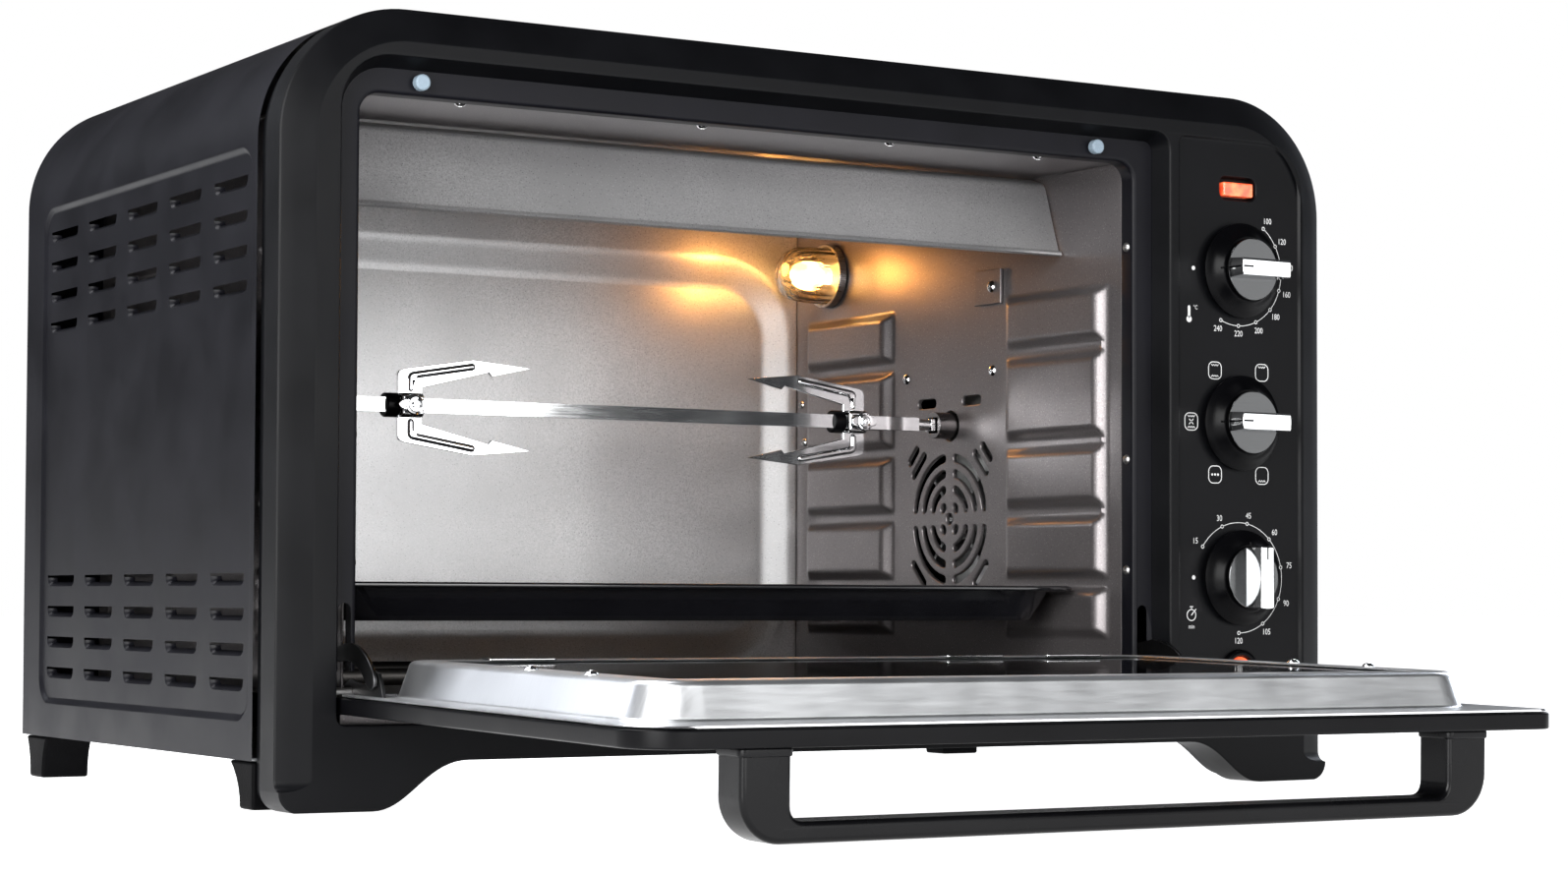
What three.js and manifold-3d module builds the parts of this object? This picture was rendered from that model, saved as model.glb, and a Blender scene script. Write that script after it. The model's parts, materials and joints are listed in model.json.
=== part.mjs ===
// Countertop rotisserie oven with its door open, a baking tray on the lowest
// runners and a spit with two forks. Millimetres, +X right, +Y to the rear, +Z up.
// Shapes are drawn with the front flat of the bezel at y = 0 and the feet at z = 0;
// the finished group is then centred on its footprint.
import * as THREE from 'three';
import { mergeVertices } from 'three/addons/utils/BufferGeometryUtils.js';
import Module from 'manifold-3d';

const wasm = await Module();
wasm.setup();

// ---- driving dimensions -----------------------------------------------------
const gap = 0.3; // clearance between pieces that touch
const sheet = 1.2; // thickness of the pressed sheets
const roundSteps = 6; // straight steps in each quarter of a round corner

const bodyHalfWidth = 280;
const bodyHeight = 339;
const bodyCornerRadius = 57;
const archHeight = 20.5; // underside of the body above the table
const bevelDepth = 5.4;
const bevelWidth = 14.3;
const bezelDepth = 21;
const bezelNeckDepth = 29.4;
const neckInset = 2.2;
const bezelWall = 4;
const shellFront = 29.7;
const shellRear = 335.2;
const rearCoverThickness = 1.5;

// Door recess, front frame and cavity.
const recess = { left: -254.5, right: 182, bottom: 36, top: 317.9 };
const recessCorners = [23, 9, 4, 4];
const doorCorners = [21.5, 8, 2, 2];
const recessDepth = 9.7;
const recessTaper = 3.95;
const frameFace = 10;
const frameLipDepth = 19.2;
const opening = { left: -241.7, right: 166.8, top: 303.2 };
const hingeClearTop = 58; // the frame is cut away below this height for the door's edge
const hingeSlotTop = 87;
const cavity = { left: -243, right: 168, front: 20.5, back: 326.5, floor: 52, ceiling: 304.8 };

// Door, drawn closed; the hinge axis runs along X.
const hinge = { y: 5.35, z: 49.83 };
const doorOpenAngle = 90.85;
const door = { left: -252, right: 179.6, bottom: 40.6, top: 316, face: -4, thickness: 7 };
const centreX = (door.left + door.right) / 2 - 0.1; // the hinges stand as far to either side
const doorInnerFace = door.face + door.thickness;
const panHeight = 16;
const pan = { left: -236, right: 163, bottom: 57.6, top: 290.6, lean: 5 };
const handle = { left: -211.6, right: 142.6, bottom: 295.6, top: 313.6, reach: 34.5, bar: 8, leg: 21 };

// Controls on the right of the bezel.
const controlX = 225.4;
const knobHeights = { thermostat: 252.4, function: 176.9, timer: 100.6 };
const dishRadius = 23.4;
const discRadius = 15.5;
const shaftRadius = 3;

// Side walls: pads of pressed sheet leave the tray runners between them.
const padColumns = [[31, 119], [222, 314]];
const padRows = [[70, 94], [102, 130], [138, 168], [176, 214], [222, 246]];
const padHeight = 5;
const fan = { y: 170.9, z: 132 };

// Spit.
const spit = { y: 170, z: 181.3, half: 3.5, left: -240, right: 174 };
const forkReach = 71;
const clampX = 5; // the thumb screw's place along the hub

// Louvres in the shell sides.
const louvre = { columns: 5, rows: 4, first: 63.7, pitch: 54.9, length: 39, rowPitch: 14.95, slot: 5 };
const louvreTops = [268.9, 99.5];

// ---- materials --------------------------------------------------------------
function finish(color, roughness, metalness, extra = {}) {
  return new THREE.MeshStandardMaterial({ color, roughness, metalness, ...extra });
}
const finishes = {
  blackPaint: () => finish(0x202024, 0.5, 0.2),
  blackPlastic: () => finish(0x17171a, 0.6, 0),
  liner: () => finish(0x6d6965, 0.38, 0.8),
  aluminium: () => finish(0xc9cccf, 0.3, 0.9),
  chrome: () => finish(0xe2e4e6, 0.12, 1),
  steel: () => finish(0x9a9da0, 0.35, 0.9),
  enamel: () => finish(0x0c0c0e, 0.15, 0),
  tube: () => finish(0x3b3835, 0.5, 0.7),
  glass: () => finish(0x20262a, 0.05, 0, { transparent: true, opacity: 0.45 }),
  lampGlass: () => finish(0xffc066, 0.1, 0, { transparent: true, opacity: 0.6 }),
  redLens: () => finish(0xd0301c, 0.2, 0),
  rubber: () => finish(0xb9c0bd, 0.7, 0),
  motor: () => finish(0x8e8a84, 0.5, 0.6),
};

// ---- solids -----------------------------------------------------------------
function solidOf(geometry) {
  const bare = geometry.clone();
  bare.deleteAttribute('normal');
  bare.deleteAttribute('uv');
  const merged = mergeVertices(bare, 1e-4);
  return new wasm.Manifold(new wasm.Mesh({
    numProp: 3,
    vertProperties: new Float32Array(merged.attributes.position.array),
    triVerts: new Uint32Array(merged.index.array),
  }));
}

function geometryOf(solid) {
  const mesh = solid.getMesh();
  const geometry = new THREE.BufferGeometry();
  geometry.setAttribute('position', new THREE.BufferAttribute(mesh.vertProperties, 3));
  geometry.setIndex(new THREE.BufferAttribute(mesh.triVerts, 1));
  geometry.computeVertexNormals();
  return geometry;
}

function join(...geometries) {
  return geometryOf(geometries.map(solidOf).reduce((sum, part) => sum.add(part)));
}

function cut(base, ...tools) {
  return geometryOf(tools.map(solidOf).reduce((rest, tool) => rest.subtract(tool), solidOf(base)));
}

function common(a, b) {
  return geometryOf(solidOf(a).intersect(solidOf(b)));
}

function box(x0, x1, y0, y1, z0, z1) {
  const geometry = new THREE.BoxGeometry(x1 - x0, y1 - y0, z1 - z0);
  return geometry.translate((x0 + x1) / 2, (y0 + y1) / 2, (z0 + z1) / 2);
}

// A round rod along X, Y or Z from `start` to `end` through the point (a, b) of the other two axes.
function rodX(radius, start, end, y, z, sides = 20) {
  return new THREE.CylinderGeometry(radius, radius, end - start, sides)
    .rotateZ(-Math.PI / 2)
    .translate((start + end) / 2, y, z);
}
function rodY(radius, start, end, x, z, sides = 24) {
  return new THREE.CylinderGeometry(radius, radius, end - start, sides)
    .translate(x, (start + end) / 2, z);
}

// Outlines drawn in (x, z) and carried along Y, or drawn in (y, z) and carried along X.
function extrudeY(shape, y0, y1, options = {}) {
  const settings = { depth: y1 - y0, bevelEnabled: false, curveSegments: roundSteps, ...options };
  return new THREE.ExtrudeGeometry(shape, settings)
    .rotateX(Math.PI / 2)
    .translate(0, y1, 0);
}
function extrudeX(shape, x0, x1, options = {}) {
  const basis = new THREE.Matrix4().makeBasis(
    new THREE.Vector3(0, 1, 0), new THREE.Vector3(0, 0, 1), new THREE.Vector3(1, 0, 0));
  const settings = { depth: x1 - x0, bevelEnabled: false, curveSegments: roundSteps, ...options };
  return new THREE.ExtrudeGeometry(shape, settings)
    .applyMatrix4(basis)
    .translate(x0, 0, 0);
}

// A prism whose outline shrinks by `inset` over the last `run` of its rear or front end.
function taperY(shape, y0, y1, run, inset) {
  return extrudeY(shape, y0 + run, y1 - run, {
    bevelEnabled: true, bevelThickness: run, bevelSize: inset, bevelOffset: -inset, bevelSegments: 1,
  });
}

function polygon(points) {
  return new THREE.Shape(points.map(([a, b]) => new THREE.Vector2(a, b)));
}

// A rectangle with round corners; radii run top left, top right, bottom right, bottom left.
function roundedRect(left, right, bottom, top, radii) {
  const [tl, tr, br, bl] = Array.isArray(radii) ? radii : [radii, radii, radii, radii];
  const shape = new THREE.Shape();
  shape.moveTo(left + bl, bottom);
  shape.lineTo(right - br, bottom);
  shape.absarc(right - br, bottom + br, br, -Math.PI / 2, 0);
  shape.lineTo(right, top - tr);
  shape.absarc(right - tr, top - tr, tr, 0, Math.PI / 2);
  shape.lineTo(left + tl, top);
  shape.absarc(left + tl, top - tl, tl, Math.PI / 2, Math.PI);
  shape.lineTo(left, bottom + bl);
  shape.absarc(left + bl, bottom + bl, bl, Math.PI, 1.5 * Math.PI);
  return shape;
}

// The same piece on the other side of the plane x = about, with its faces turned back outwards.
function mirrorX(geometry, about) {
  const mirrored = geometryOf(solidOf(geometry)).applyMatrix4(new THREE.Matrix4().makeScale(-1, 1, 1));
  const corners = mirrored.index.array;
  for (let i = 0; i < corners.length; i += 3) {
    const first = corners[i];
    corners[i] = corners[i + 1];
    corners[i + 1] = first;
  }
  mirrored.computeVertexNormals();
  return mirrored.translate(2 * about, 0, 0);
}

function piece(name, geometry, material) {
  const mesh = new THREE.Mesh(geometry, material());
  mesh.name = name;
  return mesh;
}

// ---- casing -----------------------------------------------------------------
// Front outline: upright sides, round top corners, an arch between two flared legs.
function bezelOutline(inset) {
  const half = bodyHalfWidth - inset;
  const top = bodyHeight - inset;
  const radius = bodyCornerRadius - inset;
  const toe = 9;
  const legInner = 233;
  const archEnd = 200;
  const shape = new THREE.Shape();
  shape.moveTo(-half + toe, 0);
  shape.lineTo(-legInner - 5, 0);
  shape.bezierCurveTo(-legInner + 12, 0, -archEnd - 14, archHeight, -archEnd + 6, archHeight);
  shape.lineTo(archEnd - 6, archHeight);
  shape.bezierCurveTo(archEnd + 14, archHeight, legInner - 12, 0, legInner + 5, 0);
  shape.lineTo(half - toe, 0);
  shape.absarc(half - toe, toe, toe, -Math.PI / 2, 0);
  shape.lineTo(half, top - radius);
  shape.absarc(half - radius, top - radius, radius, 0, Math.PI / 2);
  shape.lineTo(-half + radius, top);
  shape.absarc(-half + radius, top - radius, radius, Math.PI / 2, Math.PI);
  shape.lineTo(-half, toe);
  shape.absarc(-half + toe, toe, toe, Math.PI, 1.5 * Math.PI);
  return shape;
}

function frontBezel() {
  const belowLegs = -80;
  const bevelled = taperY(
    roundedRect(-bodyHalfWidth, bodyHalfWidth, belowLegs, bodyHeight, bodyCornerRadius),
    0, bezelDepth + bevelDepth, bevelDepth, bevelWidth);
  const face = common(extrudeY(bezelOutline(0), 0, bezelDepth), bevelled);
  const neck = extrudeY(bezelOutline(neckInset), bezelDepth - 1, bezelNeckDepth);
  const pocketRadius = bodyCornerRadius - bezelWall - neckInset;
  const rearPocket = extrudeY(
    roundedRect(-bodyHalfWidth + bezelWall + neckInset, bodyHalfWidth - bezelWall - neckInset,
      archHeight + bezelWall, bodyHeight - bezelWall - neckInset, [pocketRadius, pocketRadius, 2, 2]),
    recessDepth, bezelNeckDepth + 1);
  const controlPocket = extrudeY(roundedRect(190, 266, 34, 322, 12), bezelWall, recessDepth + 1);
  const doorRecess = taperY(
    roundedRect(recess.left, recess.right, recess.bottom, recess.top, recessCorners),
    -recessDepth - 3, recessDepth + 0.1, recessDepth + 0.1, recessTaper);
  const hingeSpace = box(recess.left, recess.right, -1, recessDepth + 1, recess.bottom, hingeClearTop);
  const shaftHoles = Object.values(knobHeights).map(
    (height) => rodY(shaftRadius + gap + 0.4, -1, bezelWall + 1, controlX, height));
  const lensHole = box(controlX - 9.9, controlX + 9.2, -1, bezelWall + 1, 289.1, 296.5);
  const buttonHole = rodY(8.5, -1, bezelWall + 1, controlX, 53.8);
  const pinHoles = [
    rodX(2.2, recess.left - 6.3, recess.left + 1, hinge.y, hinge.z),
    rodX(2.2, recess.right - 1, recess.right + 6.3, hinge.y, hinge.z),
  ];
  return cut(join(face, neck), rearPocket, controlPocket, doorRecess, hingeSpace,
    ...shaftHoles, lensHole, buttonHole, ...pinHoles);
}

function outerShell() {
  const shape = new THREE.Shape();
  const outline = (inset, reverse) => {
    const half = bodyHalfWidth - inset;
    const top = bodyHeight - inset;
    const radius = bodyCornerRadius - inset;
    if (reverse) {
      shape.lineTo(half, archHeight);
      shape.lineTo(half, top - radius);
      shape.absarc(half - radius, top - radius, radius, 0, Math.PI / 2);
      shape.lineTo(-half + radius, top);
      shape.absarc(-half + radius, top - radius, radius, Math.PI / 2, Math.PI);
      shape.lineTo(-half, archHeight);
    } else {
      shape.moveTo(-half, archHeight);
      shape.lineTo(-half, top - radius);
      shape.absarc(-half + radius, top - radius, radius, Math.PI, Math.PI / 2, true);
      shape.lineTo(half - radius, top);
      shape.absarc(half - radius, top - radius, radius, Math.PI / 2, 0, true);
      shape.lineTo(half, archHeight);
    }
  };
  outline(0, false);
  outline(sheet, true);
  const slots = [];
  for (const side of [-bodyHalfWidth, bodyHalfWidth]) {
    for (const topRow of louvreTops) {
      for (let row = 0; row < louvre.rows; row += 1) {
        for (let column = 0; column < louvre.columns; column += 1) {
          const y = louvre.first + column * louvre.pitch - louvre.length / 2;
          const z = topRow - row * louvre.rowPitch;
          slots.push(box(side - 3, side + 3, y, y + louvre.length, z - louvre.slot, z));
        }
      }
    }
  }
  return cut(extrudeY(shape, shellFront, shellRear), ...slots);
}

function rearCover() {
  const inset = 0.6;
  const y0 = shellRear + gap;
  const plate = extrudeY(roundedRect(-bodyHalfWidth + inset, bodyHalfWidth - inset, archHeight,
    bodyHeight - inset, [bodyCornerRadius, bodyCornerRadius, 2, 2]), y0, y0 + rearCoverThickness);
  const vents = [];
  for (let row = 0; row < 5; row += 1) {
    for (const x of [-190, -110, -30, 50, 130, 210]) {
      vents.push(box(x - 25, x + 25, y0 - 1, y0 + rearCoverThickness + 1, 255 + row * 12, 260 + row * 12));
    }
  }
  const cordHole = rodY(6.4, y0 - 1, y0 + rearCoverThickness + 1, 225, 52, 16);
  return cut(plate, ...vents, cordHole);
}

function frontFrame() {
  const plate = extrudeY(roundedRect(-272, 188, archHeight + bezelWall + gap, 331, [48, 6, 2, 2]),
    frameFace, frameFace + sheet);
  const lip = extrudeY(roundedRect(opening.left - sheet, opening.right + sheet, hingeClearTop,
    opening.top + sheet, [10, 10, 0.5, 0.5]), frameFace + 0.5, frameLipDepth);
  const hole = extrudeY(roundedRect(opening.left, opening.right, recess.bottom, opening.top,
    [9, 9, 0.5, 0.5]), frameFace - 1, frameLipDepth + 1);
  const hingeSpace = box(recess.left - 2, recess.right + 2, frameFace - 1, frameLipDepth + 1,
    recess.bottom, hingeClearTop + gap);
  const slotLeft = box(-250.2, -244.1, frameFace - 1, frameFace + sheet + 1, recess.bottom, hingeSlotTop);
  return cut(join(plate, lip), hole, hingeSpace, slotLeft, mirrorX(slotLeft, centreX));
}

function footProfile(front, rear, frontSlope, rearSlope) {
  const foot = new THREE.Shape();
  const top = archHeight - 0.4;
  foot.moveTo(front - frontSlope, top);
  foot.quadraticCurveTo(front, top * 0.6, front, 0);
  foot.lineTo(rear, 0);
  foot.quadraticCurveTo(rear, top * 0.6, rear + rearSlope, top);
  return foot;
}

function feet() {
  const frontProfile = footProfile(bezelNeckDepth + gap, 45, 0, 12);
  const rearProfile = footProfile(305, 324.5, 6, 6);
  const inner = bodyHalfWidth - 24;
  return [
    piece('front_foot_left', extrudeX(frontProfile, -bodyHalfWidth + 0.5, -inner, { curveSegments: 5 }),
      finishes.blackPlastic),
    piece('front_foot_right', extrudeX(frontProfile, inner, bodyHalfWidth - 0.5, { curveSegments: 5 }),
      finishes.blackPlastic),
    piece('rear_foot_left', extrudeX(rearProfile, -bodyHalfWidth + 0.5, -inner, { curveSegments: 5 }),
      finishes.blackPlastic),
    piece('rear_foot_right', extrudeX(rearProfile, inner, bodyHalfWidth - 0.5, { curveSegments: 5 }),
      finishes.blackPlastic),
  ];
}

function casing() {
  const group = new THREE.Group();
  group.add(
    piece('front_bezel', frontBezel(), finishes.blackPlastic),
    piece('front_frame', frontFrame(), finishes.blackPaint),
    piece('outer_shell', outerShell(), finishes.blackPaint),
    piece('rear_cover', rearCover(), finishes.blackPaint),
    piece('base_plate', box(-278.4, 278.4, 30, shellRear, archHeight + 0.1, archHeight + 0.1 + sheet),
      finishes.steel),
    piece('cord_gland', join(
      rodY(6, 330, 345, 225, 52, 16),
      rodY(9, shellRear + gap + rearCoverThickness + gap, 343, 225, 52, 16),
    ), finishes.blackPlastic),
    piece('bumper_left', rodY(3.5, 5, frameFace - gap, -215, 308.6, 16), finishes.rubber),
    piece('bumper_right', rodY(3.5, 5, frameFace - gap, 2 * centreX + 215, 308.6, 16), finishes.rubber),
    ...feet(),
  );
  return group;
}

// ---- cavity -----------------------------------------------------------------
// One pressed pad, proud of the right wall towards the cavity.
function wallPad([front, back], [low, high]) {
  const pad = extrudeX(roundedRect(front, back, low, high, 6), cavity.right - 0.5, cavity.right + 0.5, {
    bevelEnabled: true, bevelThickness: padHeight - 0.5, bevelSize: 5, bevelOffset: -5, bevelSegments: 1,
    curveSegments: 1,
  });
  return common(pad, box(cavity.right - 20, cavity.right + sheet, front - 1, back + 1, low - 1, high + 1));
}

function sideWall(x0, x1) {
  const blank = box(x0, x1, cavity.front, cavity.back - gap, cavity.floor - 4, cavity.ceiling - gap);
  const pads = padColumns.flatMap((column) => padRows.map((row) => wallPad(column, row)));
  return join(blank, ...pads);
}

// Four rings of slots in quarters, a centre hole and short slots in the corners.
function fanGrille() {
  const slotWidth = 4.2;
  const tools = [rodX(3, cavity.right - 6, cavity.right + 6, fan.y, fan.z, 12)];
  for (let ring = 0; ring < 4; ring += 1) {
    const inner = 8 + ring * 8.2 - slotWidth / 2;
    const outer = inner + slotWidth;
    const web = 2.6 / inner;
    for (let quarter = 0; quarter < 4; quarter += 1) {
      const start = quarter * Math.PI / 2 + web;
      const end = (quarter + 1) * Math.PI / 2 - web;
      const slot = new THREE.Shape();
      slot.absarc(fan.y, fan.z, outer, start, end, false);
      slot.absarc(fan.y, fan.z, inner, end, start, true);
      tools.push(extrudeX(slot, cavity.right - 6, cavity.right + 6, { curveSegments: 3 }));
    }
  }
  return tools;
}

function rightWall() {
  const airSlots = [192.2, 150.4].map((y) => extrudeX(
    roundedRect(y - 8.5, y + 8.5, 191.8, 196.3, 2.2), cavity.right - 6, cavity.right + 6,
    { curveSegments: 3 }));
  return cut(sideWall(cavity.right, cavity.right + sheet), ...fanGrille(), ...airSlots,
    rodX(8, cavity.right - 6, cavity.right + 6, spit.y, spit.z, 20),
    rodX(14.4, cavity.right - 6, cavity.right + 6, 290, 271, 24));
}

function leftWall() {
  return mirrorX(sideWall(cavity.right, cavity.right + sheet), (cavity.left + cavity.right) / 2);
}

function backWall() {
  const y = cavity.back;
  const edge = extrudeY(
    roundedRect(cavity.left, cavity.right, cavity.floor - 2, cavity.ceiling - gap, 1), y, y + sheet);
  const field = roundedRect(cavity.left + 27, cavity.right - 27, 62, 285, 34);
  const dish = taperY(field, y - 20, y + 5 + sheet, 5 + sheet, 6);
  const hollow = taperY(field, y - 22, y + 5, 5, 6);
  const dished = common(dish, box(-300, 300, y, y + 20, 0, 340));
  return cut(join(edge, dished), hollow);
}

function cavityPanels() {
  const group = new THREE.Group();
  const floor = join(
    box(cavity.left - sheet, cavity.right + sheet, cavity.front, cavity.back - gap,
      cavity.floor - 4 - gap - sheet, cavity.floor - 4 - gap),
    box(cavity.left - sheet, cavity.right + sheet, cavity.front, cavity.front + sheet,
      30, cavity.floor - 5));
  const ceiling = box(cavity.left - sheet, cavity.right + sheet, cavity.front, cavity.back + sheet,
    cavity.ceiling, cavity.ceiling + sheet);
  const baffle = extrudeX(polygon([
    [69, 263], [70.2, 262.6], [84.4, 300], [96, 303.4], [96, 304.5], [83.4, 301.2],
  ]), cavity.left + 0.6, cavity.right - 0.6);
  group.add(
    piece('cavity_wall_right', rightWall(), finishes.liner),
    piece('cavity_wall_left', leftWall(), finishes.liner),
    piece('cavity_back', backWall(), finishes.liner),
    piece('cavity_floor', floor, finishes.liner),
    piece('cavity_ceiling', ceiling, finishes.liner),
    piece('upper_baffle', baffle, finishes.liner),
    piece('sensor_plate', box(cavity.right - 1.8, cavity.right - gap, 121.6, 145.4, 243, 261),
      finishes.steel),
  );
  return group;
}

function heatingElements() {
  const group = new THREE.Group();
  const places = {
    element_upper_front: [112, 288], element_upper_rear: [228, 288],
    element_lower_front: [100, 53.5], element_lower_rear: [240, 53.5],
  };
  for (const [name, [y, z]] of Object.entries(places)) {
    group.add(piece(name, rodX(4, cavity.left + 0.6, cavity.right - 0.6, y, z, 12), finishes.tube));
  }
  return group;
}

function lampParts() {
  const group = new THREE.Group();
  const [y, z] = [290, 271];
  const wall = cavity.right;
  const turned = (points, segments) => new THREE.LatheGeometry(
    points.map(([r, x]) => new THREE.Vector2(r, x)), segments).rotateZ(Math.PI / 2).translate(wall, y, z);
  const holder = turned([
    [0, -30], [14, -30], [14, 0.4], [18, 0.4], [18, 5], [16.2, 5], [16.2, 2], [0, 2],
  ], 24);
  const cover = turned([
    [0, 31], [8, 29], [12, 24.6], [13.6, 14], [13.2, 2.8],
    [15.6, 2.8], [15.8, 14], [14, 26], [9, 31], [0, 33],
  ], 24);
  const bulb = turned([[0, 2.4], [6, 2.4], [6, 8], [9, 14], [9, 19], [6, 24], [0, 25.6]], 16);
  group.add(
    piece('lamp_holder', holder, finishes.steel),
    piece('lamp_cover', cover, finishes.lampGlass),
    piece('lamp_bulb', bulb, finishes.lampGlass),
  );
  return group;
}

function fanParts() {
  const group = new THREE.Group();
  const blades = [];
  for (let i = 0; i < 8; i += 1) {
    blades.push(box(172.5, 186, -1, 1, 9, 34).rotateX(i * Math.PI / 4).translate(0, fan.y, fan.z));
  }
  const disc = rodX(34.5, 184.5, 186, fan.y, fan.z, 24);
  const wheel = join(disc, rodX(11, 176, 186, fan.y, fan.z, 16), ...blades);
  group.add(
    piece('fan_wheel', wheel, finishes.aluminium),
    piece('fan_motor', join(
      rodX(27, 196, 236, fan.y, fan.z, 20), rodX(4, 186.4, 196.5, fan.y, fan.z, 12),
    ), finishes.motor),
  );
  return group;
}

// ---- spit -------------------------------------------------------------------
function spitShaft() {
  return join(
    box(-224, 146, spit.y - spit.half, spit.y + spit.half, spit.z - spit.half, spit.z + spit.half),
    rodX(3.3, spit.left, -223, spit.y, spit.z, 12),
    rodX(2.9, 145, 155, spit.y, spit.z, 12),
    box(154, spit.right, spit.y - 3, spit.y + 3, spit.z - 3, spit.z + 3));
}

// Fork with its hub at x = 0 and its prongs towards +x, drawn about the shaft axis.
function forkBody() {
  const half = [
    [0, 14.6], [3.4, 17.6], [40, 23.2], [forkReach, 20.2], [50.2, 15.5], [48.4, 17.4], [12.8, 8.8],
  ];
  const plate = extrudeY(polygon([...half, ...half.map(([x, z]) => [x, -z]).reverse()]), -1, 1);
  const hub = box(0, 12, -7, 7, -7, 7);
  const bore = spit.half + gap;
  return cut(join(plate, hub), box(-1, 14, -bore, bore, -bore, bore),
    rodY(2.4, -10, 0, clampX, 0, 12));
}

function forkScrew() {
  return join(
    rodY(2, -8, -spit.half - gap, clampX, 0, 12),
    rodY(4.5, -11, -7.4, clampX, 0, 16),
    box(clampX - 8, clampX + 8, -12.4, -8, -1.2, 1.2));
}

function spitGroup() {
  const group = new THREE.Group();
  const forks = [['left', -152, 1], ['right', 113, -1]];
  group.add(piece('spit_shaft', spitShaft(), finishes.chrome));
  for (const [side, x, facing] of forks) {
    const place = (geometry) => (facing > 0 ? geometry : mirrorX(geometry, 0)).translate(x, spit.y, spit.z);
    group.add(
      piece(`fork_${side}`, place(forkBody()), finishes.chrome),
      piece(`fork_screw_${side}`, place(forkScrew()), finishes.chrome),
    );
  }
  const cup = cut(rodX(7, 157, 187.6, spit.y, spit.z, 20),
    box(156, spit.right + 1, spit.y - 4.2, spit.y + 4.2, spit.z - 4.2, spit.z + 4.2));
  const cradle = cut(box(cavity.left + 0.3, -233, spit.y - 12, spit.y + 12, spit.z - 15, spit.z + 6),
    rodX(3.8, cavity.left - 1, -232, spit.y, spit.z, 16),
    box(cavity.left - 1, -232, spit.y - 3.8, spit.y + 3.8, spit.z, spit.z + 8));
  group.add(
    piece('drive_socket', cup, finishes.steel),
    piece('spit_cradle', cradle, finishes.steel),
    piece('spit_motor', box(188, 234, spit.y - 30, spit.y + 30, spit.z - 19, spit.z + 24), finishes.motor),
  );
  return group;
}

function bakingTray() {
  const rim = { left: cavity.left + 2.5, right: cavity.right - 2.5, front: 50, back: 318, z: 94.9 };
  const well = 22;
  const side = (inset, z0, z1) => new THREE.ExtrudeGeometry(
    roundedRect(rim.left + inset, rim.right - inset, rim.front + inset * 0.6, rim.back - inset * 0.6, 12),
    { depth: z1 - z0, bevelEnabled: false, curveSegments: 4 }).translate(0, 0, z0);
  const floor = rim.z - 16;
  return cut(join(side(0, rim.z, rim.z + 1.4), side(well, floor, rim.z + 0.5)),
    side(well + sheet, floor + sheet, rim.z + 3));
}

// ---- controls ---------------------------------------------------------------
function knobDish() {
  const profile = [[0, 0.5], [dishRadius, 0.5], [dishRadius, 2.4], [discRadius + 1.2, 8], [0, 8]];
  const dish = new THREE.LatheGeometry(profile.map(([r, y]) => new THREE.Vector2(r, y)), 24);
  return cut(dish, rodY(shaftRadius + gap, 0, 5, 0, 0, 16)).rotateX(Math.PI);
}

function knobGrip() {
  const disc = rodY(discRadius, -10.4, -8.3, 0, 0, 24);
  const bar = box(-discRadius, discRadius, -21, -10, -4.2, 4.2);
  const blade = common(bar, rodY(discRadius, -22, -9, 0, 0, 24));
  return join(disc, blade);
}

function controlBody(depth) {
  const housing = box(-16, 16, bezelWall + gap, depth, -16, 16);
  return join(housing, rodY(shaftRadius, -4.5, bezelWall + 1, 0, 0, 12));
}

function controls() {
  const group = new THREE.Group();
  const settings = [['thermostat', 0, 40], ['function', 0, 34], ['timer', 90, 46]];
  for (const [name, turned, depth] of settings) {
    const place = new THREE.Group();
    place.position.set(controlX, 0, knobHeights[name]);
    const knob = new THREE.Group();
    knob.rotation.y = THREE.MathUtils.degToRad(turned);
    knob.add(
      piece(`${name}_knob`, knobDish(), finishes.blackPlastic),
      piece(`${name}_grip`, knobGrip(), finishes.chrome),
    );
    place.add(knob, piece(`${name}_body`, controlBody(depth), finishes.steel));
    group.add(place);
  }
  group.add(
    piece('indicator_lens', box(controlX - 9.6, controlX + 8.9, 0.6, 8, 289.4, 296.2), finishes.redLens),
    piece('round_lens', rodY(8, -1.2, 8, controlX, 53.8, 24), finishes.redLens),
  );
  return group;
}

// ---- door -------------------------------------------------------------------
function doorPanel() {
  const outline = roundedRect(door.left, door.right, door.bottom, door.top, doorCorners);
  const window = roundedRect(-192, 119, 88, 272, 10);
  return cut(extrudeY(outline, door.face, doorInnerFace),
    extrudeY(window, door.face - 1, doorInnerFace + 1));
}

// Pressed inner pan: a leaning wall round the glass, with flanges at both edges.
function doorPan() {
  const y0 = doorInnerFace + gap;
  const y1 = doorInnerFace + panHeight;
  const outline = (inset) => roundedRect(pan.left + inset, pan.right - inset, pan.bottom + inset,
    pan.top - inset, 24);
  const run = y1 - y0 - 1;
  const outer = taperY(outline(0), y0 - 22, y1, run, pan.lean);
  const inner = taperY(outline(sheet), y0 - 24, y1 - sheet, run, pan.lean);
  const edge = roundedRect(door.left + 2, door.right - 2, pan.bottom - 6, door.top - 2, doorCorners);
  const flange = extrudeY(edge, y0, y0 + 1);
  const rim = roundedRect(pan.left + 19, pan.right - 19, pan.bottom + 19, pan.top - 19, 12);
  const bracketSpace = box(door.left, pan.left - 2.5, y0 - 1, y0 + 2, 40, 84);
  return cut(join(common(outer, box(-300, 300, y0, y1, 0, 340)), flange), inner, extrudeY(rim, y0, y1 + 1),
    bracketSpace, mirrorX(bracketSpace, centreX));
}

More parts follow.
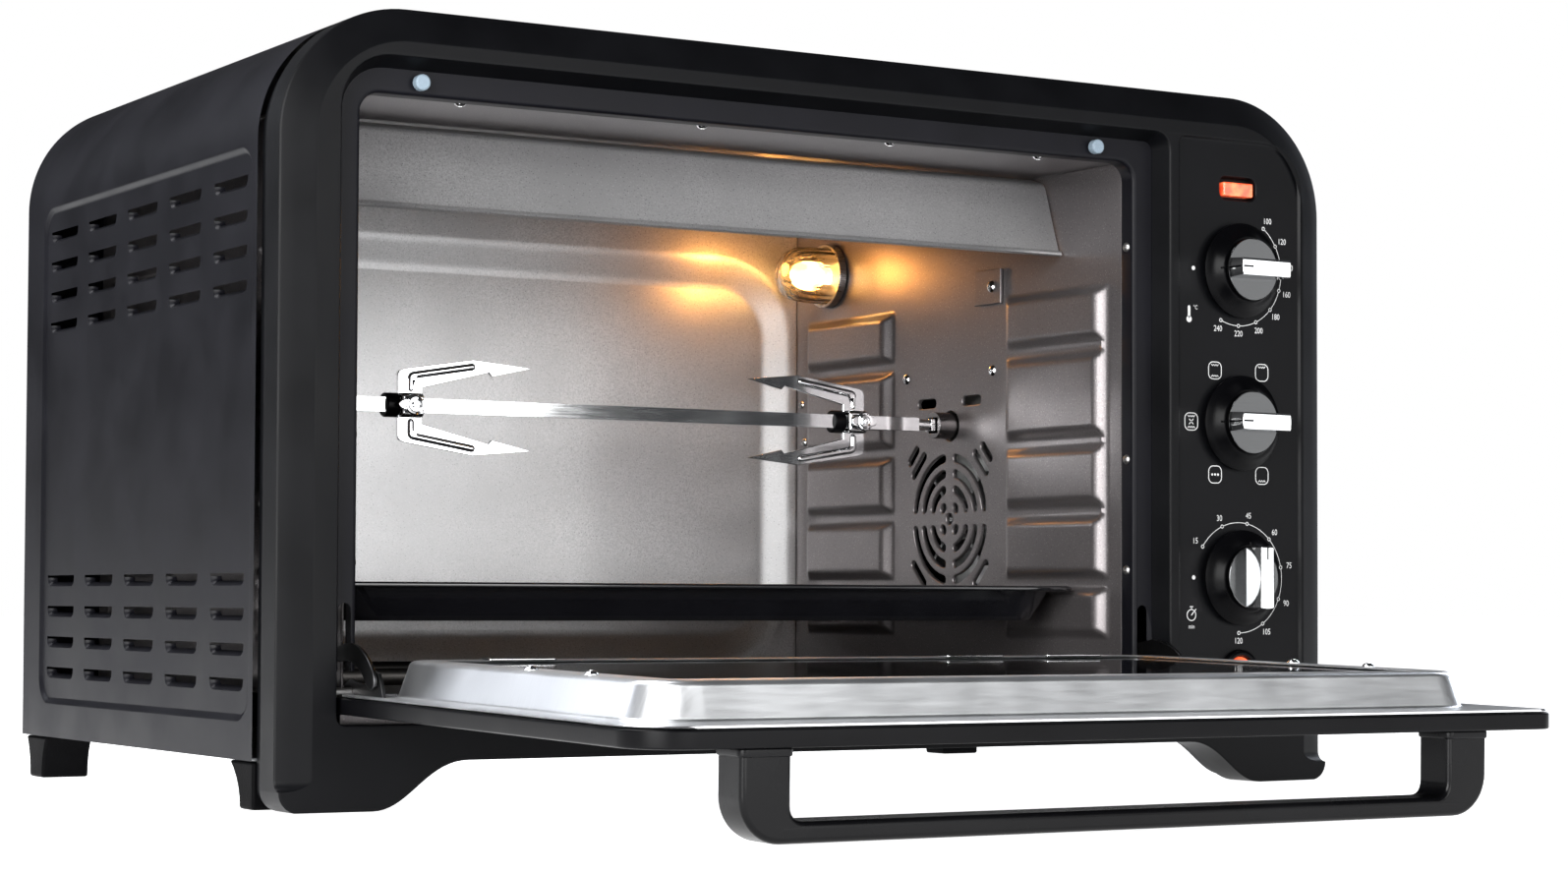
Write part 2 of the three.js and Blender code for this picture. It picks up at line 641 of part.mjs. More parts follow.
function doorHandle() {
  const back = door.face - gap;
  const front = door.face - handle.reach;
  const shape = new THREE.Shape();
  const corner = 17;
  const chamfer = 6;
  const innerFront = front + handle.bar;
  shape.moveTo(handle.left, back);
  shape.lineTo(handle.left, front + corner);
  shape.absarc(handle.left + corner, front + corner, corner, Math.PI, 1.5 * Math.PI);
  shape.lineTo(handle.right - corner, front);
  shape.absarc(handle.right - corner, front + corner, corner, -Math.PI / 2, 0);
  shape.lineTo(handle.right, back);
  shape.lineTo(handle.right - handle.leg, back);
  shape.lineTo(handle.right - handle.leg, innerFront + chamfer);
  shape.lineTo(handle.right - handle.leg - chamfer, innerFront);
  shape.lineTo(handle.left + handle.leg + chamfer, innerFront);
  shape.lineTo(handle.left + handle.leg, innerFront + chamfer);
  shape.lineTo(handle.left + handle.leg, back);
  return new THREE.ExtrudeGeometry(shape, {
    depth: handle.top - handle.bottom, bevelEnabled: false, curveSegments: 8,
  }).translate(0, 0, handle.bottom);
}

// Hinge hardware of the left side, drawn with the door closed.
const linkPivot = { y: 10.5, z: 73.6 };

function hingeBracket() {
  const upright = extrudeX(polygon([
    [3.5, 43], [8, 42.6], [10.8, 50], [9.4, 58], [9.4, 66], [13.4, 69.5], [15, 73], [14, 77.5],
    [10, 80.5], [4.4, 82.6], [3.5, 82.6],
  ]), -246.2, -244.7);
  const foot = box(-246.2, -239.6, doorInnerFace + 1.6, doorInnerFace + 2.8, 70, 82);
  return cut(join(upright, foot), rodX(2.2, -248, -243, hinge.y, hinge.z, 16),
    rodX(1.9, -248, -243, linkPivot.y, linkPivot.z, 12));
}

// A curved flat link, drawn as it lies with the door open: it runs from its pivot on the bracket
// up and back through the frame's slot.
function hingeLink() {
  const link = new THREE.Shape();
  link.moveTo(-4.2, -2);
  link.quadraticCurveTo(-5.2, 2.6, -1, 6);
  link.quadraticCurveTo(8, 15.6, 23, 15.8);
  link.lineTo(37, 13.6);
  link.lineTo(36, 7.6);
  link.lineTo(23, 8.2);
  link.quadraticCurveTo(11, 7.4, 3.4, -1.6);
  link.quadraticCurveTo(0, -4.6, -4.2, -2);
  return join(extrudeX(link, -248.2, -246.5, { curveSegments: 6 }), rodX(1.6, -247, -244.4, 0, 0, 12));
}

function doorGroup() {
  const closed = new THREE.Group();
  closed.position.set(0, -hinge.y, -hinge.z);
  const glass = roundedRect(pan.left + 15, pan.right - 15, pan.bottom + 15, pan.top - 15, 10);
  closed.add(
    piece('door_panel', doorPanel(), finishes.blackPlastic),
    piece('door_outer_glass', extrudeY(roundedRect(-191.7, 118.7, 88.3, 271.7, 9.7), door.face + 0.4,
      door.face + 4.4), finishes.glass),
    piece('door_pan', doorPan(), finishes.aluminium),
    piece('door_inner_glass', extrudeY(glass, doorInnerFace + 9.5, doorInnerFace + 13.5), finishes.glass),
    piece('door_handle', doorHandle(), finishes.blackPlastic),
    piece('hinge_bracket_left', hingeBracket(), finishes.steel),
    piece('hinge_bracket_right', mirrorX(hingeBracket(), centreX), finishes.steel),
  );
  for (const [side, mirrored] of [['left', false], ['right', true]]) {
    const link = hingeLink().rotateX(-THREE.MathUtils.degToRad(doorOpenAngle));
    link.translate(0, linkPivot.y, linkPivot.z);
    closed.add(piece(`hinge_link_${side}`, mirrored ? mirrorX(link, centreX) : link, finishes.steel));
  }
  const swung = new THREE.Group();
  swung.position.set(0, hinge.y, hinge.z);
  swung.rotation.x = THREE.MathUtils.degToRad(doorOpenAngle);
  swung.add(closed);
  return swung;
}

function hingePins() {
  const left = rodX(1.9, recess.left - 6, -243.8, hinge.y, hinge.z, 14);
  return [
    piece('hinge_pin_left', left, finishes.steel),
    piece('hinge_pin_right', mirrorX(left, centreX), finishes.steel),
  ];
}

// ---- whole object -----------------------------------------------------------
const oven = new THREE.Group();
oven.add(casing(), cavityPanels(), heatingElements(), lampParts(), fanParts(), spitGroup(),
  piece('baking_tray', bakingTray(), finishes.enamel), controls(), doorGroup(), ...hingePins());
oven.updateMatrixWorld(true);
const footprint = new THREE.Box3().setFromObject(oven, true);
oven.position.y = -(footprint.min.y + footprint.max.y) / 2;

export default oven;
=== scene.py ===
"""Looks of a countertop rotisserie oven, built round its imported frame.

Sizes in the classes are millimetres, measured from the middle of the body (x = 0), the
front flat of the bezel (y = 0) and the feet (z = 0). `Surface.build` turns them into the
frame's metres. The door's pieces are drawn shut and swung to where the frame holds the door.
"""
import json
import logging
import math
from dataclasses import dataclass
from enum import Enum
from typing import Any, Callable, Mapping, Sequence

import bmesh
import bpy
import numpy as np
from mathutils import Matrix, Vector
from mathutils.geometry import tessellate_polygon


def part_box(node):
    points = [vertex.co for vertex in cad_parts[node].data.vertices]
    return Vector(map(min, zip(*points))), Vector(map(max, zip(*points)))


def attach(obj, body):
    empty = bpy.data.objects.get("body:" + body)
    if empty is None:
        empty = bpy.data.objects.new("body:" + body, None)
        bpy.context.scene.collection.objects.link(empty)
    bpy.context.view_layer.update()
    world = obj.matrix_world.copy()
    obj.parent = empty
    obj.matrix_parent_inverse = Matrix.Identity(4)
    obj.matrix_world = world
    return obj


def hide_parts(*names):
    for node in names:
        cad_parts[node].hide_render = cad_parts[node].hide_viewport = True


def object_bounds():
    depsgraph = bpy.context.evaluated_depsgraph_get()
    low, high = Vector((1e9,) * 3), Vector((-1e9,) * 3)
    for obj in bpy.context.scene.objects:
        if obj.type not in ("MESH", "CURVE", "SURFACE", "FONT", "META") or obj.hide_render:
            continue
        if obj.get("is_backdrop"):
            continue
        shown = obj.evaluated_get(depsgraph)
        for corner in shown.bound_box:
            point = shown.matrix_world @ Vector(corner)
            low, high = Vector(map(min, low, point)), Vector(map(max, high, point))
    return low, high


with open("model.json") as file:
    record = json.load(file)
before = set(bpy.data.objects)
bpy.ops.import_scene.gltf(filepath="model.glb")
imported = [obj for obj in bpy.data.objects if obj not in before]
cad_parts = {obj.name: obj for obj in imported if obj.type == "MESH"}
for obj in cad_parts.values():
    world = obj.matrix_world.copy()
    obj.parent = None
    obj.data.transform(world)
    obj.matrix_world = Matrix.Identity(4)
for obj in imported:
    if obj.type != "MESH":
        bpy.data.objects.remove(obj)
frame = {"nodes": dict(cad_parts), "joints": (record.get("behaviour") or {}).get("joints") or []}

Array = np.ndarray
Steps = Sequence[tuple[float, float]]
log = logging.getLogger("oven")

MM = 0.001
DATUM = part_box("front_bezel")[0].y
WELD = 4e-6
SHEET = 1.0


# ---- places -----------------------------------------------------------------
def corners(node: str) -> tuple[Array, Array]:
    """Finds where a CAD node lies.

    Args:
        node: the node's name.

    Returns:
        Its lowest and highest corner in the script's millimetres.
    """
    low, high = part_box(node)
    shift = np.array([0.0, DATUM, 0.0])
    return (np.array(low) - shift) / MM, (np.array(high) - shift) / MM


def middle(node: str) -> Array:
    """The middle of a CAD node's box, in the script's millimetres."""
    low, high = corners(node)
    return (low + high) / 2


def pivot(name: str) -> Array:
    """A joint's place in the script's millimetres."""
    joint = next(j for j in frame["joints"] if j["name"] == name)
    return (np.array(joint["pos_m"]) - [0.0, DATUM, 0.0]) / MM


class Plane(Enum):
    """Which of x, y, z the first outline direction, the second one and the depth run along."""

    FRONT = (0, 2, 1)
    SIDE = (1, 2, 0)
    TOP = (0, 1, 2)

    def lift(self, flat: Array, depth: Array | float) -> Array:
        """Puts outline points into space.

        Args:
            flat: points with their two outline directions last.
            depth: how far along the third direction, one number or one for each point.

        Returns:
            Points with x, y, z last.
        """
        space = np.empty(flat.shape[:-1] + (3,))
        space[..., self.value[0]] = flat[..., 0]
        space[..., self.value[1]] = flat[..., 1]
        space[..., self.value[2]] = depth
        return space


def ramp(share: Array, blend: float = 0.3) -> Array:
    """A straight rise from 0 to 1 whose two ends bend over parabolas of length `blend`.

    Args:
        share: distance along the rise, 0 to 1 and clipped there.
        blend: share of the rise that each bend takes.

    Returns:
        The height at each share.
    """
    t = np.clip(share, 0.0, 1.0)
    gain = 1.0 / (1.0 - blend)
    low = gain * t * t / (2 * blend)
    high = 1.0 - gain * (1.0 - t) ** 2 / (2 * blend)
    return np.where(t < blend, low, np.where(t > 1.0 - blend, high, gain * (t - blend / 2)))


def quarter(start: float, end: float, steps: int) -> Array:
    """Angles in radians from start to end, both in degrees."""
    return np.radians(np.linspace(start, end, steps + 1))


def unit(vectors: Array) -> Array:
    """Vectors at length 1."""
    return vectors / np.maximum(np.linalg.norm(vectors, axis=-1, keepdims=True), 1e-12)


# ---- outlines ---------------------------------------------------------------
@dataclass(frozen=True)
class Outline:
    """A loop in two directions, run anticlockwise, with a mitred outward normal at each point."""

    points: Array
    normals: Array
    closed: bool = True

    @classmethod
    def through(cls, points: Array, closed: bool = True) -> "Outline":
        """An outline through given points.

        Each normal is the sum of its two sides' normals a and b over 1 + a.b, the mitre that
        keeps both sides parallel when the outline grows.

        Args:
            points: the corner points, in either turning direction if closed.
            closed: False for an open line, whose right-hand side is outside.

        Returns:
            The outline.
        """
        points = np.asarray(points, float)
        following = np.roll(points, -1, 0)
        turning = np.sum(points[:, 0] * following[:, 1] - following[:, 0] * points[:, 1])
        if closed and turning < 0:
            points = points[::-1]
            following = np.roll(points, -1, 0)
        ahead = unit(following - points)
        side = np.stack([ahead[:, 1], -ahead[:, 0]], 1)
        before = np.roll(side, 1, 0)
        if not closed:
            side[-1], before[0] = side[-2], side[0]
        share = 1.0 + np.sum(side * before, 1, keepdims=True)
        return cls(points, (side + before) / np.maximum(share, 0.35), closed)

    @classmethod
    def rounded(cls, low: Sequence[float], high: Sequence[float], radii: float | Sequence[float],
                steps: int = 8) -> "Outline":
        """A rectangle with round corners.

        Args:
            low: lowest corner.
            high: highest corner.
            radii: one radius, or those at top left, top right, bottom right, bottom left.
            steps: straight steps in each corner.

        Returns:
            The outline.
        """
        tl, tr, br, bl = (radii,) * 4 if isinstance(radii, (int, float)) else radii
        (x0, y0), (x1, y1) = low, high
        places = ((x1 - br, y0 + br, br, -90), (x1 - tr, y1 - tr, tr, 0),
                  (x0 + tl, y1 - tl, tl, 90), (x0 + bl, y0 + bl, bl, 180))
        angles = [quarter(start, start + 90, steps) for *_, start in places]
        turns = [np.stack([np.cos(a), np.sin(a)], 1) for a in angles]
        points = [np.array([x, y]) + r * turn for (x, y, r, _), turn in zip(places, turns)]
        return cls(np.concatenate(points), np.concatenate(turns))

    @classmethod
    def circle(cls, centre: Sequence[float], radius: float, steps: int = 48) -> "Outline":
        """A circle."""
        angle = quarter(0, 360, steps)[:-1]
        turn = np.stack([np.cos(angle), np.sin(angle)], 1)
        return cls(np.asarray(centre) + radius * turn, turn)

    @classmethod
    def stroke(cls, path: Sequence[Sequence[float]] | Array, width: float,
               steps: int = 6) -> "Outline":
        """A line of some width with round ends: both sides of the path and two half circles.

        Args:
            path: the points of the middle line.
            width: full width.
            steps: straight steps in each round end.

        Returns:
            The outline.
        """
        path = np.asarray(path, float)
        run = unit(np.gradient(path, axis=0))
        side = np.stack([run[:, 1], -run[:, 0]], 1) * width / 2

        def end(centre: Array, arm: Array) -> Array:
            """Half a circle from centre + arm, anticlockwise."""
            angle = quarter(0, 180, steps)[1:-1]
            turn = np.stack([np.cos(angle), np.sin(angle)], 1)
            across = np.array([-arm[1], arm[0]])
            return centre + turn[:, :1] * arm + turn[:, 1:] * across

        return cls.through(np.concatenate([
            path + side, end(path[-1], side[-1]), (path - side)[::-1], end(path[0], -side[0])]))

    @classmethod
    def bow(cls, centre: Sequence[float], radius: float, start: float, end: float,
            width: float, steps: int = 12) -> "Outline":
        """A stroke along a circle from one angle to another, in degrees."""
        angle = quarter(start, end, steps)
        line = np.asarray(centre) + radius * np.stack([np.cos(angle), np.sin(angle)], 1)
        return cls.stroke(line, width)

    def grown(self, amount: float) -> Array:
        """The points moved outwards by an amount."""
        return self.points + self.normals * amount

    def dense(self, gap: float) -> "Outline":
        """The same outline with points no further apart than a gap, set between its own in a line."""
        loop = np.vstack([self.points, self.points[:1]])
        normals = np.vstack([self.normals, self.normals[:1]])
        parts = np.ceil(np.linalg.norm(np.diff(loop, axis=0), axis=1) / gap).astype(int).clip(1)
        place = np.concatenate([index + np.arange(n) / n for index, n in enumerate(parts)])
        index = np.arange(len(loop))
        points, sides = (np.stack([np.interp(place, index, row) for row in rows.T], 1)
                         for rows in (loop, normals))
        return Outline(points, sides, self.closed)

    def moved(self, across: float, up: float, turned: float = 0.0) -> "Outline":
        """The outline turned about the origin by an angle in degrees, then moved."""
        c, s = math.cos(math.radians(turned)), math.sin(math.radians(turned))
        spin = np.array([[c, s], [-s, c]])
        return Outline(self.points @ spin + [across, up], self.normals @ spin, self.closed)


def bezier(*controls: Sequence[float], steps: int = 12) -> Array:
    """Points of a cubic curve: the Bernstein sum of its four control points."""
    t = np.linspace(0.0, 1.0, steps + 1)[:, None]
    a, b, c, d = (np.asarray(p, float) for p in controls)
    return a * (1 - t) ** 3 + 3 * b * t * (1 - t) ** 2 + 3 * c * t * t * (1 - t) + d * t ** 3


def rim(start: float, end: float, radius: float, steps: int = 3) -> list[tuple[float, float]]:
    """The edge of a plate whose two rims are rounded over quarter circles.

    Args:
        start: depth of one face.
        end: depth of the other face.
        radius: radius of both rims.
        steps: straight steps in each quarter.

    Returns:
        Steps of (offset, depth) from the first face to the second.
    """
    way = math.copysign(radius, end - start)
    turn = quarter(0, 90, steps)
    first = [(-radius * (1 - s), start + way * (1 - c)) for s, c in zip(np.sin(turn), np.cos(turn))]
    return first + [(offset, start + end - depth) for offset, depth in first[::-1]]


# ---- surfaces ---------------------------------------------------------------
class Surface:
    """A mesh under construction: blocks of points with their faces, in millimetres."""

    def __init__(self) -> None:
        """Starts with nothing."""
        self.blocks: list[Array] = []
        self.faces: list[list[int]] = []
        self.total = 0

    def add(self, points: Array, faces: Array | Sequence[Sequence[int]]) -> "Surface":
        """Adds points, any shape with x, y, z last, and faces that count from the first of them."""
        points = np.asarray(points, float).reshape(-1, 3)
        self.blocks.append(points)
        self.faces.extend((np.asarray(faces) + self.total).tolist())
        self.total += len(points)
        return self

    def grid(self, points: Array, wrap: bool = False) -> "Surface":
        """Adds quads through a grid of points.

        Args:
            points: rows and columns of points.
            wrap: joins the last column to the first.

        Returns:
            This surface.
        """
        rows, columns = points.shape[:2]
        index = np.arange(rows * columns).reshape(rows, columns)
        if wrap:
            index = np.hstack([index, index[:, :1]])
        faces = np.stack([index[:-1, :-1], index[:-1, 1:], index[1:, 1:], index[1:, :-1]], -1)
        return self.add(points, faces.reshape(-1, 4))

    def sheet(self, plane: Plane, outer: Array, holes: Sequence[Array] = (),
              depth: float = 0.0) -> "Surface":
        """Adds a flat face.

        Args:
            plane: the plane that it lies in.
            outer: its outer loop.
            holes: loops left open in it.
            depth: where it lies.

        Returns:
            This surface.
        """
        loops = [outer, *holes]
        flat = [np.c_[loop, np.zeros(len(loop))].tolist() for loop in loops]
        return self.add(plane.lift(np.concatenate(loops), depth), tessellate_polygon(flat))

    def ring(self, plane: Plane, outline: Outline, steps: Steps | Array) -> "Surface":
        """Adds a band: the outline carried through steps of (offset outwards, depth).

        Args:
            plane: the outline's plane.
            outline: the line that is carried.
            steps: rows of two numbers, or of two numbers for each point of the outline.

        Returns:
            This surface.
        """
        steps = np.asarray(steps, float)
        if steps.ndim == 2:
            steps = np.repeat(steps[:, None, :], len(outline.points), 1)
        flat = outline.points + outline.normals * steps[..., :1]
        return self.grid(plane.lift(flat, steps[..., 1]), wrap=outline.closed)

    def prism(self, plane: Plane, outline: Outline, steps: Steps,
              holes: Sequence[Outline] = ()) -> "Surface":
        """Adds a closed solid: a ring with a flat face over each end, and straight holes through."""
        self.ring(plane, outline, steps)
        for offset, depth in (steps[0], steps[-1]):
            self.sheet(plane, outline.grown(offset), [hole.points for hole in holes], depth)
        for hole in holes:
            self.ring(plane, hole, [(0.0, steps[0][1]), (0.0, steps[-1][1])])
        return self

    def loft(self, plane: Plane, loops: Sequence[Array], depths: Sequence[float]) -> "Surface":
        """Adds a band through loops of equally many points, each at its own depth."""
        flat = np.stack(loops)
        return self.grid(plane.lift(flat, np.asarray(depths, float)[:, None]), wrap=True)

    def turned(self, plane: Plane, centre: Sequence[float], steps: Steps, sides: int = 48,
               ripple: Callable[[Array, Array], Array] | None = None) -> "Surface":
        """Adds a turned shape.

        Args:
            plane: the plane across its axis.
            centre: the axis's place in that plane.
            steps: rows of (radius, depth); a radius of 0 closes a pole.
            sides: straight steps round.
            ripple: factor on the radius for each (angle, depth).

        Returns:
            This surface.
        """
        radius, depth = np.asarray(steps, float).T[:, :, None]
        angle = quarter(0, 360, sides)[None, :-1]
        radius = radius * (np.ones_like(angle) if ripple is None else ripple(angle, depth))
        flat = np.stack([centre[0] + radius * np.cos(angle), centre[1] + radius * np.sin(angle)], -1)
        return self.grid(plane.lift(flat, np.broadcast_to(depth, radius.shape)), wrap=True)

    def tube(self, path: Sequence[Sequence[float]] | Array, radius: float,
             sides: int = 14) -> "Surface":
        """Adds a round rod along a path: circles square to the path, closed to a point at both ends."""
        path = np.asarray(path, float)
        run = unit(np.gradient(path, axis=0))
        up = np.array([0.0, 0.0, 1.0]) if abs(run[0, 2]) < 0.8 else np.array([0.0, 1.0, 0.0])
        side = unit(np.cross(run, up))
        other = np.cross(side, run)
        angle = quarter(0, 360, sides)[:-1]
        turn = side[:, None] * np.cos(angle)[:, None] + other[:, None] * np.sin(angle)[:, None]
        rings = path[:, None] + radius * turn
        closed = [np.repeat(end[None, None], sides, 1) for end in (path[0], path[-1])]
        return self.grid(np.concatenate([closed[0], rings, closed[1]]), wrap=True)

    def text(self, words: str, at: Sequence[float], height: float, depth: float) -> "Surface":
        """Adds flat lettering in the front plane.

        Args:
            words: what it says.
            at: x and z of its middle.
            height: height of a digit.
            depth: its y.

        Returns:
            This surface.
        """
        curve = bpy.data.curves.new("lettering", "FONT")
        curve.body = words
        curve.resolution_u = 3
        holder = bpy.data.objects.new("lettering", curve)
        mesh = bpy.data.meshes.new_from_object(holder)
        flat = np.empty(len(mesh.vertices) * 3)
        mesh.vertices.foreach_get("co", flat)
        flat = flat.reshape(-1, 3)[:, :2]
        faces = [list(polygon.vertices) for polygon in mesh.polygons]
        bpy.data.objects.remove(holder)
        bpy.data.meshes.remove(mesh)
        bpy.data.curves.remove(curve)
        low, high = flat.min(0), flat.max(0)
        scale = height / 0.7 * np.array([0.86, 1.0])
        flat = (flat - (low + high) / 2) * scale + np.asarray(at)
        for face in faces:
            self.faces.append([corner + self.total for corner in face])
        self.blocks.append(Plane.FRONT.lift(flat, depth))
        self.total += len(flat)
        return self

    def build(self, name: str, sharp: float = 32.0, move: Callable[[Array], Array] | None = None,
              facing: Sequence[float] | None = None, thick: float = 0.0) -> bpy.types.Object:
        """Makes the Blender object.

        Args:
            name: the piece's name.
            sharp: edges that turn by more than this many degrees stay sharp.
            move: moves the points before they are placed.
            facing: for an open sheet, the way that its seen side looks.
            thick: thickness given to an open sheet, behind its seen side.

        Returns:
            The object, at the origin, in the frame's metres.
        """
        points = np.concatenate(self.blocks)
        if move is not None:
            points = move(points)
        mesh = bpy.data.meshes.new(name)
        mesh.from_pydata((points * MM + [0.0, DATUM, 0.0]).tolist(), [], self.faces)
        shape = bmesh.new()
        shape.from_mesh(mesh)
        bmesh.ops.remove_doubles(shape, verts=shape.verts, dist=WELD)
        bmesh.ops.dissolve_degenerate(shape, edges=shape.edges, dist=WELD)
        bmesh.ops.recalc_face_normals(shape, faces=shape.faces)
        if facing is not None:
            way = Vector(facing)
            if sum(face.normal.dot(way) * face.calc_area() for face in shape.faces) < 0:
                bmesh.ops.reverse_faces(shape, faces=shape.faces)
        shape.to_mesh(mesh)
        shape.free()
        mesh.shade_smooth()
        mesh.set_sharp_from_angle(angle=math.radians(sharp))
        piece = bpy.data.objects.new(name, mesh)
        bpy.context.scene.collection.objects.link(piece)
        if thick:
            wall = piece.modifiers.new("thickness", "SOLIDIFY")
            wall.thickness = thick * MM
            wall.offset = -1.0
        even = piece.modifiers.new("even_shading", "WEIGHTED_NORMAL")
        even.keep_sharp = True
        return piece


def refined(name: str, node: str, edge: float = 0.4, sharp: float = 34.0) -> bpy.types.Object:
    """Copies a CAD node, merges its loose triangles into flat faces and softens its edges.

    Args:
        name: the new piece's name.
        node: the CAD node that is copied.
        edge: width of the softened edges in millimetres.
        sharp: edges that turn by more than this many degrees are softened.

    Returns:
        The new piece.
    """
    shape = bmesh.new()
    shape.from_mesh(frame["nodes"][node].data)
    bmesh.ops.remove_doubles(shape, verts=shape.verts, dist=WELD)
    bmesh.ops.dissolve_limit(shape, angle_limit=math.radians(0.4), verts=shape.verts,
                             edges=shape.edges)
    mesh = bpy.data.meshes.new(name)
    shape.to_mesh(mesh)
    shape.free()
    mesh.shade_smooth()
    mesh.set_sharp_from_angle(angle=math.radians(sharp))
    piece = bpy.data.objects.new(name, mesh)
    bpy.context.scene.collection.objects.link(piece)
    soft = piece.modifiers.new("soft_edges", "BEVEL")
    soft.width = edge * MM
    soft.segments = 2
    soft.limit_method = "ANGLE"
    soft.angle_limit = math.radians(sharp)
    even = piece.modifiers.new("even_shading", "WEIGHTED_NORMAL")
    even.keep_sharp = True
    return piece


# ---- shaders ----------------------------------------------------------------
class Wire:
    """A shader socket that takes part in Python arithmetic; each step adds a Math node."""

    def __init__(self, graph: "Graph", socket: bpy.types.NodeSocket) -> None:
        """Wraps an output socket of a graph."""
        self.graph = graph
        self.socket = socket

    def sum(self, operation: str, first: "Wire | float", second: "Wire | float") -> "Wire":
        """A Math node's result on two values."""
        return self.graph.node("ShaderNodeMath", {"operation": operation}, {0: first, 1: second})

    def __add__(self, other: "Wire | float") -> "Wire":
        """self + other."""
        return self.sum("ADD", self, other)

    __radd__ = __add__

    def __sub__(self, other: "Wire | float") -> "Wire":
        """self - other."""
        return self.sum("SUBTRACT", self, other)

    def __rsub__(self, other: "Wire | float") -> "Wire":
        """other - self."""
        return self.sum("SUBTRACT", other, self)

    def __mul__(self, other: "Wire | float") -> "Wire":
        """self * other."""
        return self.sum("MULTIPLY", self, other)

    __rmul__ = __mul__

    def span(self, low: float, high: float, start: float = 0.0, end: float = 1.0) -> "Wire":
        """The value from low..high carried to start..end and clamped there."""
        return self.graph.node("ShaderNodeMapRange", {"clamp": True}, {
            "Value": self, "From Min": low, "From Max": high, "To Min": start, "To Max": end})


Value = Wire | float | Sequence[float]


class Graph:
    """One material's node graph, laid out in Object coordinates."""

    def __init__(self, name: str) -> None:
        """Makes an empty node material."""
        self.material = bpy.data.materials.new(name)
        self.material.use_nodes = True
        self.tree = self.material.node_tree
        self.tree.nodes.clear()
        self.place = self.node("ShaderNodeTexCoord", {}, {}, "Object")

    def node(self, kind: str, settings: Mapping[str, Any], inputs: Mapping[str | int, Value],
             output: str | int = 0) -> Wire:
        """Adds any node.

        Args:
            kind: the node's type.
            settings: its properties, set first.
            inputs: values or wires by socket name or number.
            output: the socket that is handed back.

        Returns:
            That output as a wire.
        """
        made = self.tree.nodes.new(kind)
        for key, value in settings.items():
            setattr(made, key, value)
        for key, value in inputs.items():
            socket = made.inputs[key]
            if isinstance(value, Wire):
                self.tree.links.new(value.socket, socket)
            elif socket.type == "RGBA":
                socket.default_value = (*value, 1.0)
            else:
                socket.default_value = value
        return Wire(self, made.outputs[output]) if made.outputs else Wire(self, None)

    def noise(self, size: float, detail: float = 2.0, stretch: Sequence[float] = (1, 1, 1)) -> Wire:
        """Smooth noise from 0 to 1.

        Args:
            size: width of one blot in millimetres.
            detail: octaves of finer noise on it.
            stretch: how much longer the blots are along x, y and z.

        Returns:
            The noise.
        """
        place = self.place
        if tuple(stretch) != (1, 1, 1):
            place = self.node("ShaderNodeMapping", {}, {
                "Vector": place, "Scale": tuple(1.0 / s for s in stretch)})
        return self.node("ShaderNodeTexNoise", {}, {
            "Vector": place, "Scale": 1000.0 / size, "Detail": detail})

    def flecks(self, size: float, share: float) -> Wire:
        """Small round flecks, 1 inside and 0 outside: cells of `size` mm whose middle is within `share`."""
        near = self.node("ShaderNodeTexVoronoi", {}, {
            "Vector": self.place, "Scale": 1000.0 / size})
        return near.span(share, share * 0.6)

    def mix(self, share: Value, first: Value, second: Value) -> Wire:
        """A colour between two colours."""
        return self.node("ShaderNodeMix", {"data_type": "RGBA"}, {
            0: share, 6: first, 7: second}, 2)

    def bump(self, height: Wire, depth: float, strength: float = 1.0) -> Wire:
        """A bent normal from a height of 0 to 1 that stands for `depth` mm."""
        return self.node("ShaderNodeBump", {}, {
            "Height": height, "Distance": depth * MM, "Strength": strength})

    def shader(self, inputs: Mapping[str, Value]) -> bpy.types.Material:
        """Ends the graph in a Principled shader."""
        shader = self.node("ShaderNodeBsdfPrincipled", {}, inputs)
        self.node("ShaderNodeOutputMaterial", {}, {"Surface": shader})
        return self.material


class Finish:
    """A surface finish whose material is made once and shared."""

    name: str
    made: dict[str, bpy.types.Material] = {}

    def shade(self, graph: Graph) -> bpy.types.Material:
        """Fills the graph. Each finish has its own."""
        raise NotImplementedError

    def material(self) -> bpy.types.Material:
        """The finish's material."""
        if self.name not in Finish.made:
            Finish.made[self.name] = self.shade(Graph(self.name))
        return Finish.made[self.name]


@dataclass(frozen=True)
class Coating(Finish):
    """Paint or moulded plastic: a fine grain breaks the gloss, with faint clouds in its tone."""

    name: str
    colour: tuple[float, float, float]
    gloss: tuple[float, float] = (0.42, 0.5)
    grain: float = 0.7
    relief: float = 0.02
    specular: float = 0.5
    coat: float = 0.0

    def shade(self, graph: Graph) -> bpy.types.Material:
        """Clouds 40 mm wide over grain a fraction of a millimetre wide."""
        clouds = graph.noise(40.0, 3.0)
        grain = graph.noise(self.grain, 2.0)
        deep, pale = (tuple(c * share for c in self.colour) for share in (0.75, 1.3))
        return graph.shader({
            "Base Color": graph.mix((clouds * 0.7 + grain * 0.3).span(0.35, 0.65), deep, pale),
            "Roughness": clouds.span(0.35, 0.65, *self.gloss),
            "Specular IOR Level": self.specular,
            "Coat Weight": self.coat,
            "Coat Roughness": 0.06,
            "Normal": graph.bump(grain, self.relief)})


